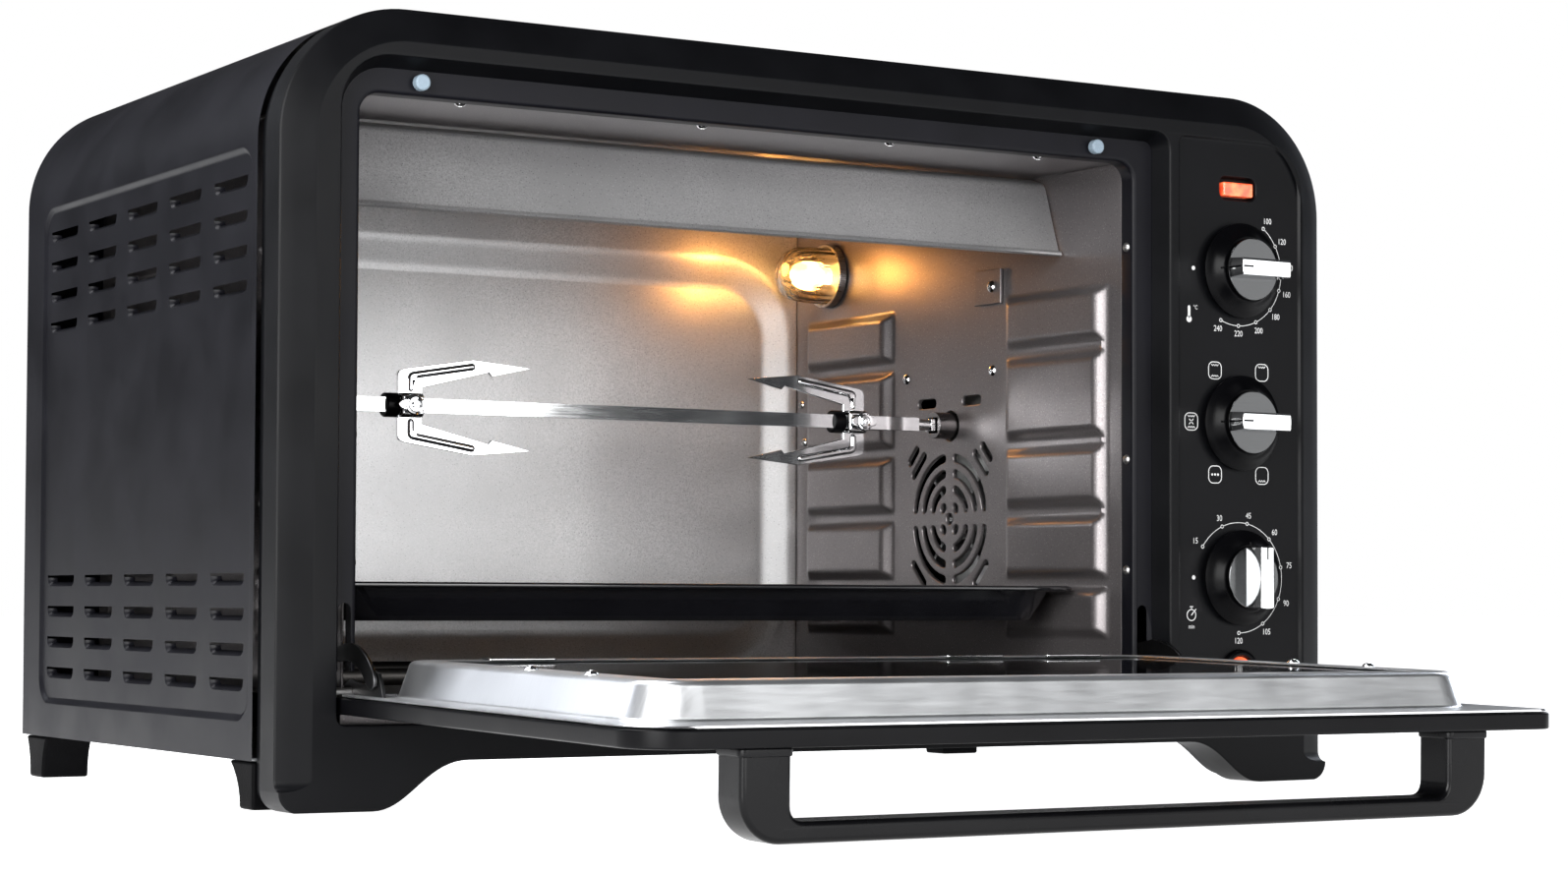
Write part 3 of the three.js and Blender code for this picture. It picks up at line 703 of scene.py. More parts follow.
@dataclass(frozen=True)
class Liner(Finish):
    """Non-stick liner: satin metallic coating scattered with pale and dark specks."""

    name: str
    colour: tuple[float, float, float]
    speck: tuple[float, float, float]
    gloss: tuple[float, float] = (0.3, 0.4)
    metallic: float = 0.75

    def shade(self, graph: Graph) -> bpy.types.Material:
        """Specks from two sizes of cells over soft clouds."""
        clouds = graph.noise(60.0, 3.0)
        grain = graph.noise(0.8, 3.0)
        pale = graph.flecks(1.7, 0.2)
        dark = graph.flecks(1.9, 0.2)
        tone = graph.mix(clouds.span(0.3, 0.7), tuple(c * 0.85 for c in self.colour),
                         tuple(c * 1.12 for c in self.colour))
        grained = graph.mix(grain.span(0.35, 0.65), tuple(c * 0.8 for c in self.colour), tone)
        marked = graph.mix(dark * 0.6, grained, tuple(c * 0.35 for c in self.colour))
        return graph.shader({
            "Base Color": graph.mix(pale * 0.35, marked, self.speck),
            "Roughness": grain.span(0.3, 0.7, *self.gloss),
            "Metallic": self.metallic,
            "Normal": graph.bump(grain, 0.03)})


@dataclass(frozen=True)
class Metal(Finish):
    """Bare or plated metal: fine drawn streaks and faint smudges in its gloss."""

    name: str
    colour: tuple[float, float, float]
    gloss: tuple[float, float] = (0.08, 0.16)
    streak: tuple[float, float, float] = (40.0, 1.0, 1.0)
    relief: float = 0.004
    dull: float = 0.12

    def shade(self, graph: Graph) -> bpy.types.Material:
        """Streaks stretched along the drawing direction over smudges 30 mm wide."""
        smudge = graph.noise(30.0, 4.0)
        drawn = graph.noise(0.6, 2.0, self.streak)
        worn = tuple(c * (1.0 - self.dull) for c in self.colour)
        return graph.shader({
            "Base Color": graph.mix((smudge * 0.5 + drawn * 0.5).span(0.35, 0.65), worn, self.colour),
            "Roughness": (smudge * 0.6 + drawn * 0.4).span(0.35, 0.65, *self.gloss),
            "Metallic": 1.0,
            "Normal": graph.bump(drawn, self.relief)})


@dataclass(frozen=True)
class Glass(Finish):
    """Sheet or moulded glass with a tint and faint wiping marks."""

    name: str
    tint: tuple[float, float, float]
    through: float = 1.0
    gloss: tuple[float, float] = (0.01, 0.06)

    def shade(self, graph: Graph) -> bpy.types.Material:
        """Wiping marks stretched along x lift the roughness."""
        wiped = graph.noise(14.0, 3.0, (6.0, 1.0, 1.0))
        return graph.shader({
            "Base Color": graph.mix(wiped.span(0.3, 0.7), tuple(c * 0.9 for c in self.tint), self.tint),
            "Roughness": wiped.span(0.45, 0.75, *self.gloss),
            "IOR": 1.5,
            "Transmission Weight": self.through,
            "Normal": graph.bump(wiped, 0.002)})


@dataclass(frozen=True)
class Glow(Finish):
    """A lit body: its own colour in the light that it gives, brighter at the core."""

    name: str
    edge: tuple[float, float, float]
    core: tuple[float, float, float]
    power: float
    size: float = 9.0

    def shade(self, graph: Graph) -> bpy.types.Material:
        """Soft noise mixes the edge and core colours."""
        cloud = graph.noise(self.size, 2.0)
        colour = graph.mix(cloud.span(0.35, 0.65), self.edge, self.core)
        return graph.shader({
            "Base Color": colour, "Roughness": cloud.span(0.3, 0.7, 0.18, 0.3),
            "Emission Color": colour, "Emission Strength": self.power, "Coat Weight": 0.6})


@dataclass(frozen=True)
class Ink(Finish):
    """Printed marks: pale grey ink with small breaks in its cover."""

    name: str
    colour: tuple[float, float, float] = (0.5, 0.5, 0.5)

    def shade(self, graph: Graph) -> bpy.types.Material:
        """Grain 0.4 mm wide dulls the ink."""
        grain = graph.noise(0.4, 3.0)
        return graph.shader({
            "Base Color": graph.mix(grain.span(0.3, 0.5), tuple(c * 0.6 for c in self.colour), self.colour),
            "Roughness": grain.span(0.3, 0.7, 0.45, 0.6)})


PAINT = Coating("casing_paint", (0.0035, 0.0035, 0.005), (0.36, 0.44), 0.5, 0.01, 0.1)
MOULDING = Coating("bezel_moulding_black", (0.002, 0.0021, 0.0026), (0.36, 0.44), 0.45, 0.008, 0.09)
FOOT_PLASTIC = Coating("foot_plastic", (0.0012, 0.0012, 0.0014), (0.5, 0.6), 1.1, 0.1, 0.03)
KNOB_PLASTIC = Coating("knob_plastic", (0.001, 0.001, 0.0013), (0.26, 0.34), 0.5, 0.008, 0.06)
DOOR_PLASTIC = Coating("door_black", (0.0016, 0.0016, 0.002), (0.28, 0.36), 0.6, 0.008, 0.09)
HANDLE_PLASTIC = Coating("handle_plastic", (0.002, 0.002, 0.0024), (0.24, 0.32), 0.5, 0.008, 0.14)
ENAMEL = Coating("tray_enamel", (0.004, 0.004, 0.005), (0.1, 0.16), 2.4, 0.02, 0.5, 0.7)
RUBBER = Coating("bumper_rubber", (0.14, 0.18, 0.215), (0.5, 0.6), 0.5, 0.02, 0.3)
LINER = Liner("liner_coating", (0.2, 0.185, 0.187), (0.5, 0.48, 0.46), (0.3, 0.38), 0.8)
BACK_LINER = Liner("back_liner", (0.5, 0.5, 0.505), (0.75, 0.75, 0.75), (0.34, 0.44), 0.8)
ALUMINIUM = Metal("pan_aluminium", (0.86, 0.875, 0.89), (0.3, 0.38), (30.0, 1.0, 30.0), 0.003, 0.06)
CHROME = Metal("chrome", (0.82, 0.83, 0.84), (0.05, 0.1), (30.0, 1.0, 1.0), 0.002, 0.08)
SATIN_STEEL = Metal("plate_steel", (0.45, 0.44, 0.43), (0.25, 0.38), (20.0, 20.0, 1.0), 0.01, 0.25)
SOCKET_STEEL = Metal("socket_steel", (0.2, 0.19, 0.19), (0.16, 0.28), (1.0, 20.0, 1.0), 0.01, 0.3)
ZINC = Metal("base_zinc", (0.5, 0.52, 0.54), (0.35, 0.5), (8.0, 8.0, 1.0), 0.01, 0.3)
MOTOR_METAL = Metal("motor_metal", (0.4, 0.39, 0.37), (0.35, 0.5), (1.0, 10.0, 10.0), 0.01, 0.3)
FAN_METAL = Metal("fan_metal", (0.35, 0.35, 0.35), (0.3, 0.4), (1.0, 6.0, 6.0), 0.01, 0.2)
TUBE_METAL = Metal("element_tube", (0.1, 0.095, 0.09), (0.4, 0.55), (4.0, 1.0, 1.0), 0.02, 0.35)
DOOR_GLASS = Glass("door_glass", (0.12, 0.125, 0.13))
DARK_GLASS = Coating("pan_glass_dark", (0.002, 0.002, 0.0025), (0.03, 0.07), 6.0, 0.002, 0.5)
# painted shade: the blade's chrome darkened in colour, for the dark reflection of the disc under each
# dial's blade
SHADED_DISC_CHROME = Metal("disc_chrome_painted_shade", (0.1, 0.102, 0.104), (0.14, 0.2), (30.0, 1.0, 1.0), 0.002, 0.08)
LINK_STEEL = Metal("link_steel", (0.06, 0.06, 0.062), (0.3, 0.42), (1.0, 1.0, 12.0), 0.01, 0.3)
LAMP_GLASS = Glass("lamp_glass", (1.0, 0.9, 0.72), 1.0, (0.02, 0.08))
LAMP_GLOW = Glow("lamp_glow", (1.0, 0.5, 0.12), (1.0, 0.74, 0.36), 9.0)
RED_LENS = Glow("red_lens", (0.75, 0.06, 0.02), (0.95, 0.17, 0.06), 0.55, 5.0)
INK = Ink("dial_ink")


# ---- assemblies -------------------------------------------------------------
class Assembly:
    """What the sub-assemblies share: a body to ride on and ways to dress a piece."""

    body = "oven_body"

    def place(self, piece: bpy.types.Object, finish: Finish, slot: str = "",
              stands_for: Sequence[str] = (), body: str = "") -> bpy.types.Object:
        """Dresses a piece and hangs it on its body.

        Args:
            piece: the finished piece.
            finish: its finish.
            slot: the record's material slot, if it has one; not used.
            stands_for: the CAD nodes that it replaces.
            body: the body it rides on, if not the assembly's own.

        Returns:
            The piece.
        """
        piece.data.materials.clear()
        piece.data.materials.append(finish.material())
        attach(piece, body or self.body)
        if stands_for:
            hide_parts(*stands_for)
        log.info("%s: %d faces on %s", piece.name, len(piece.data.polygons), body or self.body)
        return piece

    def keep(self, finish: Finish, *nodes: str) -> None:
        """Gives CAD nodes that stay their material."""
        for node in nodes:
            materials = frame["nodes"][node].data.materials
            materials.clear()
            materials.append(finish.material())
            log.info("%s keeps its shape", node)

    def soften(self, finish: Finish, slot: str, *nodes: str, edge: float = 0.4,
               body: str = "") -> None:
        """Replaces CAD nodes by copies with softened edges.

        Args:
            finish: their finish.
            slot: their material slot.
            nodes: the nodes.
            edge: width of the softened edges.
            body: the body they ride on, if not the assembly's own.
        """
        for node in nodes:
            self.place(refined(f"{node}_finished", node, edge), finish, slot, [node], body)


def screw_head(surface: Surface, plane: Plane, at: Sequence[float], seat: float, way: float,
               radius: float = 3.0) -> None:
    """Adds a domed screw with a four-lobed socket.

    Args:
        surface: the surface it joins.
        plane: the plane across its axis.
        at: its place in that plane.
        seat: depth of what it is screwed to.
        way: +1 or -1, the direction that the head points along the depth.
        radius: radius of the head.
    """
    shape = ((0.0, 0.16), (0.26, 0.18), (0.36, 0.56), (0.62, 0.5), (0.86, 0.32), (1.0, 0.1), (1.0, -0.1))
    steps = [(r * radius, seat + way * h * radius) for r, h in shape]
    surface.turned(plane, at, steps, 20,
                   lambda angle, depth: 1.0 + 0.3 * np.cos(4 * angle) * np.array(
                       [1, 1, 1, 0, 0, 0, 0])[:, None])


@dataclass
class Casing(Assembly):
    """Bezel moulding, wrapped shell with louvres, front frame, rear cover, base and feet."""

    corner: float = 57.0
    toe: float = 9.0
    bevel_width: float = 14.3
    bevel_depth: float = 5.4
    face_depth: float = 21.0
    neck_inset: float = 2.2
    wall: float = 4.0
    recess_depth: float = 9.7
    recess_taper: float = 3.95
    recess: tuple[float, float, float, float] = (-254.5, 182.0, 36.0, 317.9)
    panel: tuple[float, float, float, float] = (187.6, 264.0, 36.0, 317.2)
    panel_depth: float = 1.4
    lens_recess: tuple[float, float, float, float] = (213.8, 236.6, 287.6, 299.2)
    hinge_clear: float = 58.3
    slot_top: float = 87.0
    slot: tuple[float, float] = (-250.2, -244.1)
    louvre: tuple[float, float] = (39.0, 5.4)
    louvre_tops: tuple[float, float] = (268.9, 99.5)
    louvre_first: float = 63.7
    louvre_pitch: tuple[float, float] = (54.9, 14.95)
    louvre_counts: tuple[int, int] = (5, 4)
    emboss: tuple[float, float, float, float] = (34.0, 311.0, 36.5, 281.0)
    emboss_depth: float = 1.5

    def __post_init__(self) -> None:
        """Reads the casing's extent from the frame."""
        low, high = corners("front_bezel")
        self.half, self.top, self.neck_depth = high[0], high[2], high[1]
        self.arch = corners("outer_shell")[0][2]
        left, right = corners("cavity_wall_left")[0], corners("cavity_wall_right")[1]
        self.opening = (left[0] + 2.5, right[0] - 2.4)
        self.opening_top = corners("cavity_ceiling")[0][2] - 1.6
        self.centre = sum(self.opening) / 2

    def outline(self) -> tuple[Outline, Array]:
        """The bezel's outline and the width of its bevel at each point.

        The right half runs from the arch over an S-shaped leg, a round toe, the run-out of the
        bevel (a quarter ellipse), the side and the round corner; the left half mirrors it.

        Returns:
            The outline and the widths.
        """
        thin = 0.8
        leg = bezier((194, self.arch), (214, self.arch), (221, 0), (238, 0), steps=18)
        turn = quarter(-90, 0, 8)
        toe = [self.half - self.toe, self.toe] + self.toe * np.stack([np.cos(turn), np.sin(turn)], 1)
        run = quarter(0, 90, 8)[1:]
        end = np.stack([np.full(8, self.half), self.toe + 5.0 * (1 - np.cos(run))], 1)
        turn = quarter(0, 90, 26)
        corner = [self.half - self.corner, self.top - self.corner] + self.corner * np.stack(
            [np.cos(turn), np.sin(turn)], 1)
        right = np.concatenate([[(60.0, self.arch)], leg, toe[1:], end, corner])
        width = np.concatenate([
            np.full(len(leg) + len(toe), thin),
            thin + (self.bevel_width - thin) * np.sin(run),
            np.full(len(corner), self.bevel_width)])
        whole = np.concatenate([right, (right * [-1, 1])[::-1]])
        return Outline.through(whole), np.concatenate([width, width[::-1]])

    def bezel(self) -> bpy.types.Object:
        """The front moulding: bevelled rim, recess for the door, stepped control panel."""
        outline, width = self.outline()
        depth = width * self.bevel_depth / self.bevel_width
        none, inner = width * 0, self.neck_inset + self.wall
        offsets = [-(width + 0.6), -width, -width * 0.94, -width * 0.5, -width * 0.06, none, none, none,
                   none - 0.3, none - self.neck_inset, none - self.neck_inset, none - inner, none - inner]
        depths = [none, none + 0.02, depth * 0.08, depth * 0.5, depth * 0.94, depth * 1.08 + 0.1,
                  depth * 1.1 + 0.9, none + self.face_depth - 0.4, none + self.face_depth,
                  none + self.face_depth + 0.1, none + self.neck_depth, none + self.neck_depth,
                  none + self.recess_depth]
        x0, x1, z0, z1 = self.recess
        recess = Outline.rounded((x0, z0), (x1, z1), (23, 9, 4, 4)).dense(8.0)
        taper = self.recess_taper * ramp((recess.points[:, 1] - self.hinge_clear) / 12.0)
        flat = taper * 0
        into = np.stack([
            np.stack([flat + 0.9, flat], 1), np.stack([flat + 0.35, flat + 0.12], 1),
            np.stack([flat, flat + 0.55], 1), np.stack([-taper * 0.06 - 0.1, flat + 1.1], 1),
            np.stack([-taper, flat + self.recess_depth], 1)])
        x0, x1, z0, z1 = self.panel
        panel = Outline.rounded((x0, z0), (x1, z1), (4, 24, 4, 4), 12)
        x0, x1, z0, z1 = self.lens_recess
        lens = Outline.rounded((x0, z0), (x1, z1), 4)
        floor = self.panel_depth
        surface = Surface().ring(Plane.FRONT, outline, np.stack([np.stack(offsets), np.stack(depths)], -1))
        surface.sheet(Plane.FRONT, outline.points + outline.normals * offsets[0][:, None],
                      [recess.grown(0.9), panel.grown(0.7)], 0.0)
        surface.ring(Plane.FRONT, recess, into)
        surface.sheet(Plane.FRONT, outline.grown(-inner), [recess.points - recess.normals * taper[:, None]],
                      self.recess_depth)
        surface.ring(Plane.FRONT, panel, [(0.7, 0), (0.2, 0.12), (-0.2, 0.6), (-0.7, floor - 0.15),
                                          (-1.4, floor)])
        surface.sheet(Plane.FRONT, panel.grown(-1.4), [lens.grown(0.5)], floor)
        surface.ring(Plane.FRONT, lens, [(0.5, floor), (0, floor + 0.4), (-0.6, 5.8), (-1.0, 6.2)])
        surface.sheet(Plane.FRONT, lens.grown(-1.0), (), 6.2)
        return surface.build("bezel_moulding")

    def louvres(self, surface: Surface, wall: float, inward: float) -> list[Array]:
        """Adds the scoops under the louvre slots of one side.

        Args:
            surface: the shell.
            wall: x of the sheet.
            inward: +1 or -1, the direction towards the inside.

        Returns:
            The loops to leave open in the sheet.
        """
        length, height = self.louvre
        holes = []
        for top in self.louvre_tops:
            for row in range(self.louvre_counts[1]):
                for column in range(self.louvre_counts[0]):
                    y = self.louvre_first + column * self.louvre_pitch[0]
                    z = top - row * self.louvre_pitch[1]
                    hole = Outline.rounded((y - length / 2, z - height), (y + length / 2, z),
                                           (0.3, 0.3, 4.2, 4.2), 5)
                    holes.append(hole.points)
                    scoop = Outline(np.roll(hole.points, -18, 0)[:12], np.roll(hole.normals, -18, 0)[:12],
                                    closed=False)
                    surface.ring(Plane.SIDE, scoop, [
                        (0, wall), (-0.5, wall + inward * 0.5), (-1.3, wall + inward * 1.5),
                        (-2.0, wall + inward * 2.8), (-2.2, wall + inward * 4.2)])
        return holes

    def shell(self) -> bpy.types.Object:
        """The wrapped sheet: round corners over the top, embossed sides with louvres."""
        low, high = corners("outer_shell")
        front, rear = low[1], high[1]
        radius, half, top = self.corner, self.half, self.top
        turn = quarter(0, 90, 28)
        arc = np.stack([np.cos(turn), np.sin(turn)], 1) * radius
        right = arc + [half - radius, top - radius]
        over = np.concatenate([right, (right * [-1, 1])[::-1]])
        rows = np.array([front, front + 0.4, (front + rear) / 2, rear - 0.4, rear])
        surface = Surface().grid(np.stack([Plane.FRONT.lift(over, y) for y in rows]))
        y0, y1, z0, z1 = self.emboss
        field = Outline.rounded((y0, z0), (y1, z1), 14, 10)
        edge = Outline.rounded((front, self.arch), (rear, top - radius), 0.01, 1)
        for side in (-1.0, 1.0):
            wall, deep = side * half, side * (half - self.emboss_depth)
            surface.sheet(Plane.SIDE, edge.points, [field.points], wall)
            shares = np.linspace(0, 1, 7)
            surface.ring(Plane.SIDE, field, np.stack([
                -3.2 * shares, wall + (deep - wall) * ramp(shares, 0.4)], 1))
            surface.sheet(Plane.SIDE, field.grown(-3.2), self.louvres(surface, deep, -side), deep)
        return surface.build("shell_wrap", sharp=28.0)

    def front_frame(self) -> bpy.types.Object:
        """The pressed frame round the opening, with a rolled lip and slots for the links."""
        low, high = corners("front_frame")
        left, right = self.opening
        top, face = self.opening_top, low[1]
        turn = quarter(0, 90, 7)
        arc = 9.0 * np.stack([np.cos(turn), np.sin(turn)], 1)
        lip_path = np.concatenate([
            [(right, self.hinge_clear)], arc + [right - 9, top - 9],
            (arc * [-1, 1])[::-1] + [left + 9, top - 9], [(left, self.hinge_clear)]])
        lip = Outline.through(lip_path, closed=False)
        bend = 2.0
        outer = Outline.rounded((low[0], low[2]), (high[0], high[2]), (48, 6, 2, 2))
        x0, x1 = self.slot
        crown = quarter(0, 180, 8)
        radius = (x1 - x0) / 2
        cap = np.stack([np.cos(crown), np.sin(crown)], 1) * radius + [(x0 + x1) / 2, self.slot_top - radius]
        wide = (self.recess[0] - 2, self.recess[1] + 2)
        base, clear = self.recess[2], self.hinge_clear
        left_slot = np.concatenate([[(x1, clear)], cap, [(x0, clear)]])
        right_slot = (left_slot * [-1, 1])[::-1] + [2 * self.centre, 0]
        hole = np.concatenate([
            [(wide[0], base), (wide[1], base), (wide[1], clear)], right_slot, [(right + bend, clear)],
            lip.grown(bend)[1:-1], [(left - bend, clear)], left_slot, [(wide[0], clear)]])
        curve = quarter(0, 90, 5)
        steps = [(bend * (1 - math.sin(a)), face + bend * (1 - math.cos(a))) for a in curve]
        steps.append((0.0, high[1]))
        surface = Surface().sheet(Plane.FRONT, outer.points, [hole], face)
        surface.ring(Plane.FRONT, lip, steps)
        return surface.build("frame_pressing", facing=(0, -1, 0), thick=SHEET)

    def screws(self) -> bpy.types.Object:
        """Domed screws in the frame's right and left lips."""
        surface = Surface()
        y = middle("front_frame")[1] + 0.6
        for z in (262.0, 158.0, 104.0):
            screw_head(surface, Plane.SIDE, (y, z), self.opening[1], -1.0, 2.4)
            screw_head(surface, Plane.SIDE, (y, z), self.opening[0], 1.0, 2.4)
        return surface.build("frame_screws")

    def make(self) -> None:
        """Builds and dresses the casing."""
        self.place(self.bezel(), MOULDING, "bezel_plastic", ["front_bezel"])
        self.place(self.shell(), PAINT, "casing_paint", ["outer_shell"])
        self.place(self.front_frame(), PAINT, "casing_paint", ["front_frame"])
        self.place(self.screws(), SATIN_STEEL, "plate_steel")
        self.soften(PAINT, "casing_paint", "rear_cover")
        self.soften(MOULDING, "foot_plastic", "cord_gland")
        self.soften(FOOT_PLASTIC, "foot_plastic", "front_foot_left", "front_foot_right",
                    "rear_foot_left", "rear_foot_right", edge=1.2)
        self.soften(RUBBER, "bumper_rubber", "bumper_left", "bumper_right", edge=0.8)
        self.keep(ZINC, "base_plate")


@dataclass
class Cavity(Assembly):
    """The liner with its pressed pads and fan grille, and what is fixed in it."""

    columns: tuple[tuple[float, float, float], ...] = ((30.3, 119.0, 8.5), (223.0, 314.0, 1.0))
    pad_span: tuple[float, float] = (70.0, 246.0)
    grooves: tuple[float, ...] = (215.5, 168.8, 133.8, 98.0)
    groove_width: tuple[float, float] = (1.5, 7.4)
    pad_height: float = 5.0
    pad_slope: tuple[float, float] = (8.6, 5.5)
    grille_rings: tuple[float, ...] = (8.0, 16.2, 24.4, 32.6)
    grille_slot: float = 4.4
    grille_corners: tuple[tuple[float, float], ...] = ((41.0, 7.0), (48.5, 4.5))
    wall_rows: int = 206
    rear_depth: float = 4.9
    field_slope: float = 20.0
    field_corner: float = 28.0

    def __post_init__(self) -> None:
        """Reads the cavity's extent from the frame."""
        right_low, right_high = corners("cavity_wall_right")
        self.sheet = 1.2
        self.right, self.left = right_high[0] - self.sheet, corners("cavity_wall_left")[0][0] + self.sheet
        self.front, self.back = right_low[1], corners("cavity_back")[0][1]
        self.floor, self.ceiling = right_low[2], corners("cavity_ceiling")[0][2]
        self.spit = middle("spit_shaft")
        self.fan = middle("fan_wheel")

    def pads(self, y: Array, z: Array) -> Array:
        """Height of the pads at a grid of places.

        A column of pads is one raised field, its share the least of the distances inside its
        four edges over the slopes. Runner grooves cut it: a groove's share is the distance from
        a line that starts behind the front edge and runs to the back. The tray's own groove, the
        lowest, runs out through the front.

        Args:
            y: places along the wall.
            z: places up the wall.

        Returns:
            The height in millimetres.
        """
        across, up = self.pad_slope
        low, high = self.pad_span
        bottom, top = self.groove_width
        height = np.zeros(np.broadcast(y, z).shape)
        for front, back, start in self.columns:
            field = ramp(np.minimum(np.minimum((y - front) / across, (back - y) / across),
                                    np.minimum((z - low) / up, (high - z) / up)), 0.22)
            for centre in self.grooves:
                tip = front + (start if centre != self.grooves[-1] else -self.pad_slope[0])
                away = np.hypot(np.maximum(tip - y, 0), z - centre)
                field = np.minimum(field, ramp((away - bottom) / (top - bottom), 0.4))
            height = np.maximum(height, field)
        return height * self.pad_height

    def grille(self) -> list[Outline]:
        """The openings over the fan: a centre hole, four rings in quarters and corner slots."""
        y, z = self.fan[1], self.fan[2]
        made = [Outline.circle((y, z), 3.0, 20)]
        for radius in self.grille_rings:
            web = math.degrees((3.4 + self.grille_slot / 2) / radius)
            for start in (0, 90, 180, 270):
                made.append(Outline.bow((y, z), radius, start + web, start + 90 - web,
                                        self.grille_slot, 8))
        for turn in (45, 135, 225, 315):
            c, s = math.cos(math.radians(turn)), math.sin(math.radians(turn))
            for reach, half in self.grille_corners[:2 if turn < 180 else 1]:
                mid, arm = np.array([y + c * reach, z + s * reach]), half * np.array([-s, c])
                made.append(Outline.stroke([mid - arm, mid + arm], self.grille_slot))
        return made

    def side(self, mirrored: bool) -> bpy.types.Object:
        """One side wall, drawn as the right one.

        Args:
            mirrored: True for the left wall, which has no openings.

        Returns:
            The wall.
        """
        wall = self.right
        z = np.linspace(self.floor, self.ceiling - 0.3, self.wall_rows)
        strips = ((self.front, self.columns[0][1] + 0.5), (self.columns[1][0] - 0.5, self.back - 0.3))
        surface = Surface()
        for start, end in strips:
            y = np.linspace(start, end, int((end - start) / 1.5))
            yy, zz = np.meshgrid(y, z)
            surface.grid(Plane.SIDE.lift(np.stack([yy, zz], -1), wall - self.pads(yy, zz)))
        y0, y1 = strips[0][1], strips[1][0]
        rim_points = np.concatenate([
            np.stack([np.full(len(z), y), line], 1) for y, line in ((y1, z), (y0, z[::-1]))])
        holes = []
        if not mirrored:
            holes = self.grille()
            holes += [Outline.stroke([(y - 6.2, 194.0), (y + 6.2, 194.0)], 5.0) for y in (192.2, 150.4)]
            holes.append(Outline.circle(self.spit[1:], 8.0, 32))
        surface.sheet(Plane.SIDE, rim_points, [hole.grown(0.6) for hole in holes], wall)
        for hole in holes:
            surface.ring(Plane.SIDE, hole, [(0.6, wall), (0.28, wall + 0.1), (0.05, wall + 0.4),
                                            (0.0, wall + 1.0), (0.0, wall + 2.2)])
        name = "side_pressing_left" if mirrored else "side_pressing_right"
        flip = (lambda p: p * [-1, 1, 1] + [self.left + self.right, 0, 0]) if mirrored else None
        return surface.build(name, sharp=60.0, move=flip, facing=(1 if mirrored else -1, 0, 0), thick=SHEET)

    def rear(self) -> bpy.types.Object:
        """The rear wall with its embossed field."""
        x0, x1 = self.left, self.right
        field = Outline.rounded((x0 + 3.0, 52.0), (x1 - 2.2, 284.0),
                                self.field_corner + self.field_slope, 20)
        edge = Outline.rounded((x0, self.floor - 1), (x1, self.ceiling - 0.3), 0.5, 1)
        shares = np.linspace(0, 1, 11)
        surface = Surface().sheet(Plane.FRONT, edge.points, [field.points], self.back)
        surface.ring(Plane.FRONT, field, np.stack([
            -self.field_slope * shares, self.back + self.rear_depth * ramp(shares, 0.22)], 1))
        surface.sheet(Plane.FRONT, field.grown(-self.field_slope), (), self.back + self.rear_depth)
        return surface.build("rear_pressing", facing=(0, -1, 0), thick=SHEET, sharp=50.0)

    def baffle(self) -> bpy.types.Object:
        """The bent guard in front of the upper elements: one section carried from wall to wall."""
        section = np.array([(70.6, 264.6), (69.6, 263.4), (70.4, 263.1), (71.6, 264.2), (83.6, 298.4),
                            (85.0, 300.4), (87.0, 301.4), (96.0, 304.0)])
        x = np.array([self.left + 0.8, self.left + 40, self.right - 40, self.right - 0.8])
        surface = Surface().grid(np.stack([np.c_[np.full(len(section), at), section] for at in x]))
        return surface.build("baffle_sheet", facing=(0, -1, -0.3), thick=0.8, sharp=40.0)

    def elements(self) -> None:
        """The four heating rods."""
        for node in ("element_upper_front", "element_upper_rear", "element_lower_front",
                     "element_lower_rear"):
            low, high = corners(node)
            _, y, z = middle(node)
            x = np.linspace(low[0], high[0], 60)
            surface = Surface().tube(np.stack([x, x * 0 + y, x * 0 + z], 1), 3.9, 18)
            self.place(surface.build(f"{node}_rod"), TUBE_METAL, "element_tube", [node])

    def lamp(self) -> None:
        """The lamp: ribbed glass cover in a steel collar, with a glowing bulb."""
        y, z = middle("lamp_cover")[1:]
        wall = self.right
        outer = [(15.6, -2.8), (15.8, -9), (15.7, -18), (14.9, -24), (12.6, -28.6), (9.0, -31.6),
                 (4.5, -33.0), (0.0, -33.0), (0.0, -31.2), (4.2, -31.0), (8.0, -29.4), (11.2, -26.6),
                 (13.0, -22.8), (13.6, -17.0), (13.7, -9), (13.4, -2.8), (15.6, -2.8)]
        steps = [(r, wall + x) for r, x in outer]
        cover = Surface().turned(Plane.SIDE, (y, z), steps, 72, lambda angle, depth: 1.0 - 0.018 * (
            1 + np.cos(18 * angle)) * ramp((wall - 2.9 - depth) / 4.0) * ramp((depth - wall + 31) / 8.0))
        shown = self.place(cover.build("lamp_dome", sharp=50.0), LAMP_GLASS, "lamp_glass", ["lamp_cover"])
        shown.visible_shadow = False
        bulb = Surface().turned(Plane.SIDE, (y, z), [(r, wall - x) for r, x in (
            (0, 2.4), (5.4, 2.4), (5.8, 8), (7.6, 11), (8.8, 15), (8.4, 19), (6, 23), (2.6, 25.2),
            (0, 25.6))], 32)
        self.place(bulb.build("lamp_bulb_lit", sharp=60.0), LAMP_GLOW, "lamp_glow", ["lamp_bulb"])
        self.soften(SATIN_STEEL, "plate_steel", "lamp_holder", edge=0.5)

    def fixings(self) -> bpy.types.Object:
        """Screws in the ceiling, the right wall and the sensor plate."""
        surface = Surface()
        for x in (-187.5, -66.0, 36.0, 122.0):
            screw_head(surface, Plane.TOP, (x, 27.0), self.ceiling, -1.0, 2.8)
        for y, z, radius in ((212.0, 208.4, 3.0), (131.0, 208.4, 3.0), (321.0, 200.0, 2.4),
                             (318.0, 178.5, 2.4)):
            screw_head(surface, Plane.SIDE, (y, z), self.right, -1.0, radius)
        _, y, z = middle("sensor_plate")
        screw_head(surface, Plane.SIDE, (y - 4, z), corners("sensor_plate")[0][0], -1.0, 3.2)
        return surface.build("liner_screws")

